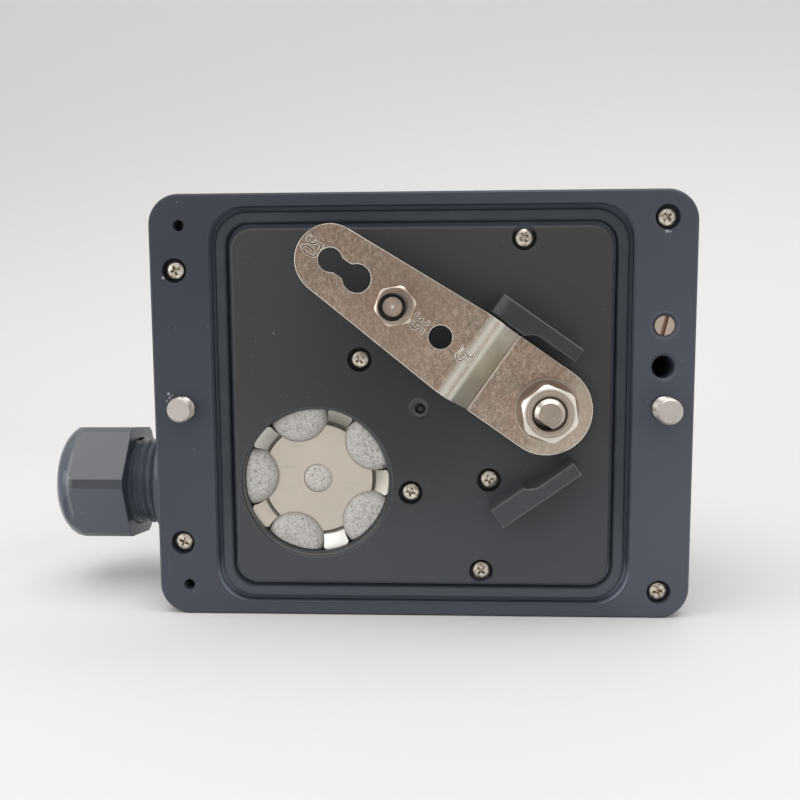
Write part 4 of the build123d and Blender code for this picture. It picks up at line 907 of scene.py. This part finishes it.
def make_filter():
    rings, sides = 96, 288
    shoulder, shoulder_share = -2.3, 0.98
    bm = bmesh.new()
    grid = [[bm.verts.new((0, 0, swell(0, 0)))]]
    for ring in range(1, rings + 1):
        radius = VENT_RIM_R * ring / rings
        row = []
        for side in range(sides):
            angle = 2 * pi * side / sides
            x, y = radius * cos(angle), radius * sin(angle)
            row.append(bm.verts.new((x, y, swell(x, y))))
        grid.append(row)
    rim = grid[-1]
    grid.append([bm.verts.new((v.co.x * shoulder_share, v.co.y * shoulder_share, shoulder)) for v in rim])
    grid.append([bm.verts.new((v.co.x, v.co.y, DISC_BACK)) for v in grid[-1]])
    grid.append([bm.verts.new((0, 0, DISC_BACK))])
    for low, high in zip(grid, grid[1:]):
        join_rings(bm, low, high, sides)
    disc = mesh_object("filter_disc", bm, out_of_face(*VENT_SEAT), MATERIALS["filter_porous"], 60)
    stands_for(disc, "vent_filter", "housing")


def make_vent_step():
    """Shallow step of the platform round the porous disc."""
    sides, gap = 180, 0.06
    shift_x, shift_z = VENT_SEAT[0] - VENT_X, VENT_SEAT[1] - VENT_Z
    inner = [(x + shift_x, y + shift_z) for x, y in polygon(sides, VENT_RIM_R + gap)]
    outer = polygon(sides, STEP_R)
    corners = ((inner, STEP_BOTTOM), (inner, STEP_TOP), (outer, STEP_TOP), (outer, STEP_BOTTOM))
    bm = bmesh.new()
    rings = []
    for outline, height in corners:
        rings.append([bm.verts.new((x, y, height)) for x, y in outline])
    for low, high in zip(rings, rings[1:] + rings[:1]):
        join_rings(bm, low, high, sides)
    step = mesh_object("vent_step", bm, out_of_face(VENT_X, VENT_Z), step_plastic())
    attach(step, "housing")


# Small screws with a domed head and a cross recess
def screw_head(name, x, z, turn, tip, material, recess_material):
    """One small screw, its recess cut in brownish dirt lightened by a painted highlight."""
    profile = [(0, -0.70), (0.9, -0.73), (1.4, -0.83), (1.68, -1.0)]
    profile += [(SMALL_HEAD_R, -1.3), (SMALL_HEAD_R, -2.28)]
    profile += [(SMALL_SCREW_R, -2.28), (SMALL_SCREW_R, -tip + 0.4)]
    profile += [(SMALL_SCREW_R - 0.4, -tip), (0, -tip)]
    bm = bmesh.new()
    lathe(bm, profile, sides=40)
    screw = mesh_object(name, bm, out_of_face(x, z, turn), material)
    bm = bmesh.new()
    sections = []
    for height, half, reach in CROSS:
        corner = [(half, half), (half, reach), (-half, reach)]
        corner += [(-half, half), (-reach, half), (-reach, -half)]
        corner += [(-half, -half), (-half, -reach), (half, -reach)]
        corner += [(half, -half), (reach, -half), (reach, half)]
        sections.append([bm.verts.new((a, b, height)) for a, b in corner])
    join_rings(bm, sections[0], sections[1], 12)
    bm.faces.new(list(reversed(sections[0])))
    bm.faces.new(sections[1])
    recess = mesh_object(name + "_recess", bm, out_of_face(x, z, turn), recess_material)
    return cut(screw, recess)


def join(pieces, name):
    """One object from several meshes that keep their materials."""
    bm = bmesh.new()
    materials = []
    for piece in pieces:
        first = len(bm.faces)
        bm.from_mesh(piece.data)
        bm.faces.ensure_lookup_table()
        for face in bm.faces[first:]:
            material = piece.data.materials[face.material_index]
            if material not in materials:
                materials.append(material)
            face.material_index = materials.index(material)
        bpy.data.objects.remove(piece)
    mesh = bpy.data.meshes.new(name)
    bm.to_mesh(mesh)
    bm.free()
    for material in materials:
        mesh.materials.append(material)
    return resharpen(put_in_scene(name, mesh))


def make_small_screws():
    # Brownish dirt in the cross recesses, lightened as a painted highlight on the arms.
    dirt_and_highlight = steel("recess_dirt_and_highlight", (0.78, 0.68, 0.52), (0.42, 0.33, 0.22), 0.45)
    head = steel("head_plating", (0.95, 0.89, 0.80), (0.50, 0.44, 0.36), 0.36, spots=(0.34, 0.27, 0.16))
    for name, node, points, tip in (
        ("flange_screws", "base_screws", BASE_SCREWS, 15.0),
        ("cover_fixings", "platform_screws", PLATFORM_SCREWS, 10.0),
    ):
        screws = []
        for number, (x, z, turn) in enumerate(points):
            screws.append(screw_head(f"screw_{number}", x, z, turn, tip, head, dirt_and_highlight))
        stands_for(join(screws, name), node, "housing")


# Fastening screws, as node, body, piece and how far the end stops short of the solid's
FASTENINGS = (
    ("fastening_screw_left", "fastening_left", "fastening_thread_left", 0),
    ("fastening_screw_right", "fastening_right", "fastening_thread_right", 1.8),
)


def make_fastening_screws():
    """Both screws: a threaded end with a chamfer, and a head with a socket."""
    pitch, groove, thread_long, tip_share, sides = 0.8, 0.36, 14, 0.86, 56
    head_r, head_high, head_foot_r, socket_r, socket_deep = 3.85, 5, 3.45, 2.3, 2.5
    for node, body, name, short in FASTENINGS:
        low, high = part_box(node)
        x = (low.x + high.x) / 2 / MM
        tip = -low.y / MM - short
        foot = -high.y / MM
        bm = bmesh.new()
        rings = thread(bm, FASTENING_R, tip - thread_long, tip - 0.45, pitch, groove, sides)
        chamfer = []
        for vertex in rings[-1]:
            chamfer.append(bm.verts.new((vertex.co.x * tip_share, vertex.co.y * tip_share, tip)))
        join_rings(bm, rings[-1], chamfer, len(chamfer))
        join_rings(bm, chamfer, [bm.verts.new((0, 0, tip))], len(chamfer))
        below = [(FASTENING_R, tip - thread_long), (FASTENING_R, foot + head_high)]
        below += [(head_r, foot + head_high), (head_r, foot + 0.4), (head_foot_r, foot)]
        below += [(socket_r, foot), (socket_r, foot + socket_deep), (0, foot + socket_deep)]
        lathe(bm, below, sides)
        screw = mesh_object(name, bm, out_of_face(x, 0), turned_steel(name + "_steel", x, 0))
        stands_for(screw, node, body)


# Cable gland body with its hexagon, thread and bore
def make_gland_body():
    low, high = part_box("gland_body")
    wall, collar, inner, outer = GLAND_WALL, GLAND_COLLAR, -high.x / MM, -low.x / MM
    corner_r = (high.y - low.y) / 2 / MM
    neck_r, neck_start, spigot_r, bore_r, seat_r, seat_deep = GLAND_NECK_R, collar - 0.4, 10, 6, 7.83, 7
    pitch, groove, mouth_share, sides = 1.65, 0.95, 0.9, 72
    bm = bmesh.new()
    prism(bm, polygon(6, GLAND_FLATS / sqrt(3)), wall, collar)
    hexagon = mesh_object("gland_collar", bm, out_of_left_wall(GLAND_TURN), MATERIALS["gland_plastic"])
    bm = bmesh.new()
    rounding = [(0, wall - 1), (corner_r, wall - 1), (corner_r, collar - 1)]
    rounding += [(corner_r - 1.3, collar), (0, collar)]
    lathe(bm, rounding, sides=96)
    form = mesh_object("gland_rounding", bm, out_of_left_wall(), MATERIALS["gland_plastic"])
    round_edges(cut(hexagon, form, "INTERSECT"), 0.25, 25)
    bm = bmesh.new()
    neck = thread(bm, neck_r, neck_start, outer - 0.6, pitch, groove, sides, fade=0.6)
    mouth = [bm.verts.new((v.co.x * mouth_share, v.co.y * mouth_share, outer)) for v in neck[-1]]
    join_rings(bm, neck[-1], mouth, len(mouth))
    seat = [(neck_r * mouth_share, outer), (seat_r, outer), (seat_r, outer - seat_deep)]
    lathe(bm, seat + [(bore_r, outer - seat_deep), (bore_r, inner)], sides)
    spigot = [(bore_r, inner), (neck_r, inner), (spigot_r, inner + 1), (spigot_r, wall)]
    lathe(bm, spigot + [(neck_r, wall), (neck_r, neck_start)], sides)
    barrel = mesh_object("gland_barrel", bm, out_of_left_wall(), MATERIALS["gland_plastic"])
    stands_for(join([hexagon, barrel], "gland_body_moulding"), "gland_body", "housing")


def make_gland_cap():
    """Domed union nut: a hexagon with rounded-off corners, a plain open end and a round mouth."""
    start, flat_end, dome, tip = GLAND_CAP_START, 74.9, 75.1, -cap_low.x / MM
    corner_r, dome_r, mouth_r = 13.32, 12.9, 6.4
    bore_r, bore_end, throat_r, steps = 9.75, 73.6, 6, 8
    bm = bmesh.new()
    prism(bm, polygon(6, GLAND_FLATS / sqrt(3)), start, tip)
    cap = mesh_object("gland_nut", bm, out_of_left_wall(GLAND_TURN), MATERIALS["gland_plastic"])
    profile = [(0, start - 1), (corner_r, start - 1), (corner_r, flat_end)]
    for step in range(steps + 1):
        angle = pi / 2 * step / steps
        profile.append((mouth_r + (dome_r - mouth_r) * cos(angle), dome + (tip - dome) * sin(angle)))
    profile.append((0, tip))
    bm = bmesh.new()
    lathe(bm, profile, sides=96)
    cut(cap, mesh_object("gland_form", bm, out_of_left_wall(), MATERIALS["gland_plastic"]), "INTERSECT")
    bm = bmesh.new()
    bore = [(0, start - 1), (bore_r, start - 1), (bore_r, bore_end)]
    bore += [(throat_r, bore_end), (throat_r, tip + 1), (0, tip + 1)]
    lathe(bm, bore, sides=72)
    cut(cap, mesh_object("gland_bore", bm, out_of_left_wall(), MATERIALS["gland_plastic"]))
    stands_for(resharpen(round_edges(cap, 0.12, 22)), "gland_cap", "gland_cap_body")


# Stage: one sweep of pale card, the camera and the lights
def make_stage():
    length, width, radius, start, steps = 0.9, 1.6, 0.25, 0.22, 12
    profile = [(-length, FLOOR_Z * MM), (start, FLOOR_Z * MM)]
    for step in range(1, steps + 1):
        angle = pi / 2 * step / steps
        profile.append((start + radius * sin(angle), FLOOR_Z * MM + radius * (1 - cos(angle))))
    profile.append((start + radius, FLOOR_Z * MM + length))
    bm = bmesh.new()
    rows = [[bm.verts.new((side * width, y, z)) for side in (-1, 1)] for y, z in profile]
    for low, high in zip(rows, rows[1:]):
        bm.faces.new((low[0], low[1], high[1], high[0]))
    mesh = bpy.data.meshes.new("card")
    bm.to_mesh(mesh)
    bm.free()
    mesh.shade_smooth()
    card = put_in_scene("card", mesh)
    paper = Finish("card_paper", (0.73, 0.728, 0.722), 0.9)
    paper.tint(paper.ramp(paper.noise(6, 2), (0.3, 0), (0.7, 1)), (0.71, 0.708, 0.702), 0.4)
    # Darker towards the top: painted shade on the backdrop.
    paper.tint(paper.band(paper.along(0, 0, 101), 90, 2000, 120), (0.59, 0.588, 0.582), 0.95)
    # A paler patch of floor under the gland: painted light that lifts its shadow.
    painted_shadow_lift = paper.node("ShaderNodeVectorMath", operation="DISTANCE")
    paper.link(paper.place, painted_shadow_lift.inputs[0])
    painted_shadow_lift.inputs[1].default_value = (-0.062, 0.025, FLOOR_Z * MM)
    paper.tint(paper.band(painted_shadow_lift.outputs["Value"], -1, 0.025, 0.025), (0.93, 0.93, 0.92), 0.9)
    mesh.materials.append(paper.material)


def make_camera():
    """Camera solved from the flange's corners: a long phone lens close to the object."""
    camera = put_in_scene("camera", bpy.data.cameras.new("camera"))
    camera.data.lens = CAMERA_LENS
    camera.data.sensor_width = 36
    camera.data.clip_start = 0.01
    turn = Matrix.Rotation(CAMERA_YAW, 4, "Z") @ Matrix.Rotation(CAMERA_PITCH, 4, "X")
    turn = turn @ Matrix.Rotation(CAMERA_ROLL, 4, "Y")
    place = Matrix.Translation([value * MM for value in CAMERA_AT])
    camera.matrix_world = place @ turn @ Matrix.Rotation(pi / 2, 4, "X")
    bpy.context.scene.camera = camera


def area_light(name, place, target, size, power):
    lamp = bpy.data.lights.new(name, "AREA")
    lamp.shape = "RECTANGLE"
    lamp.size, lamp.size_y = size
    lamp.energy = power
    holder = put_in_scene(name, lamp)
    holder.location = place
    holder.rotation_euler = (Vector(target) - Vector(place)).to_track_quat("-Z", "Y").to_euler()


def make_lights():
    world = bpy.data.worlds.new("studio")
    bpy.context.scene.world = world
    world.use_nodes = True
    tree = world.node_tree
    background = tree.nodes["Background"]
    place = tree.nodes.new("ShaderNodeTexCoord")
    split = tree.nodes.new("ShaderNodeSeparateXYZ")
    tree.links.new(place.outputs["Generated"], split.inputs[0])
    ramp = tree.nodes.new("ShaderNodeValToRGB")
    shift = tree.nodes.new("ShaderNodeMapRange")
    shift.inputs["From Min"].default_value = -1
    tree.links.new(split.outputs["Z"], shift.inputs["Value"])
    tree.links.new(shift.outputs["Result"], ramp.inputs["Fac"])
    stops = ((0.0, (0.80, 0.79, 0.78)), (0.47, (0.55, 0.53, 0.51)))
    stops += ((0.62, (0.50, 0.48, 0.46)), (1.0, (0.95, 0.96, 0.98)))
    elements = ramp.color_ramp.elements
    while len(elements) < len(stops):
        elements.new(0.5)
    for element, (position, color) in zip(elements, stops):
        element.position = position
        element.color = (*color, 1)
    aside = tree.nodes.new("ShaderNodeMath")
    aside.operation = "ABSOLUTE"
    tree.links.new(split.outputs["X"], aside.inputs[0])
    reach = tree.nodes.new("ShaderNodeMapRange")
    reach.interpolation_type = "SMOOTHSTEP"
    reach.inputs["From Min"].default_value = 0.35
    reach.inputs["From Max"].default_value = 0.85
    tree.links.new(aside.outputs[0], reach.inputs["Value"])
    sides = tree.nodes.new("ShaderNodeMix")
    sides.data_type = "RGBA"
    tree.links.new(reach.outputs["Result"], sides.inputs["Factor"])
    tree.links.new(ramp.outputs["Color"], sides.inputs[6])
    sides.inputs[7].default_value = (1.15, 1.13, 1.10, 1)
    tree.links.new(sides.outputs[2], background.inputs["Color"])
    background.inputs["Strength"].default_value = WORLD_LEVEL
    area_light("top", (0.08, -0.10, 0.66), (0, 0, 0), (1.0, 0.7), 3.6)
    area_light("left", (-0.60, -0.30, 0.10), (-0.06, 0, -0.03), (0.5, 0.5), 1.6)


make_stage()
make_camera()
make_lights()
dress_solids()
make_lever()
make_washer()
make_filter()
make_vent_step()
make_small_screws()
make_fastening_screws()
make_gland_body()
make_gland_cap()
bpy.context.scene.view_settings.view_transform = "Standard"
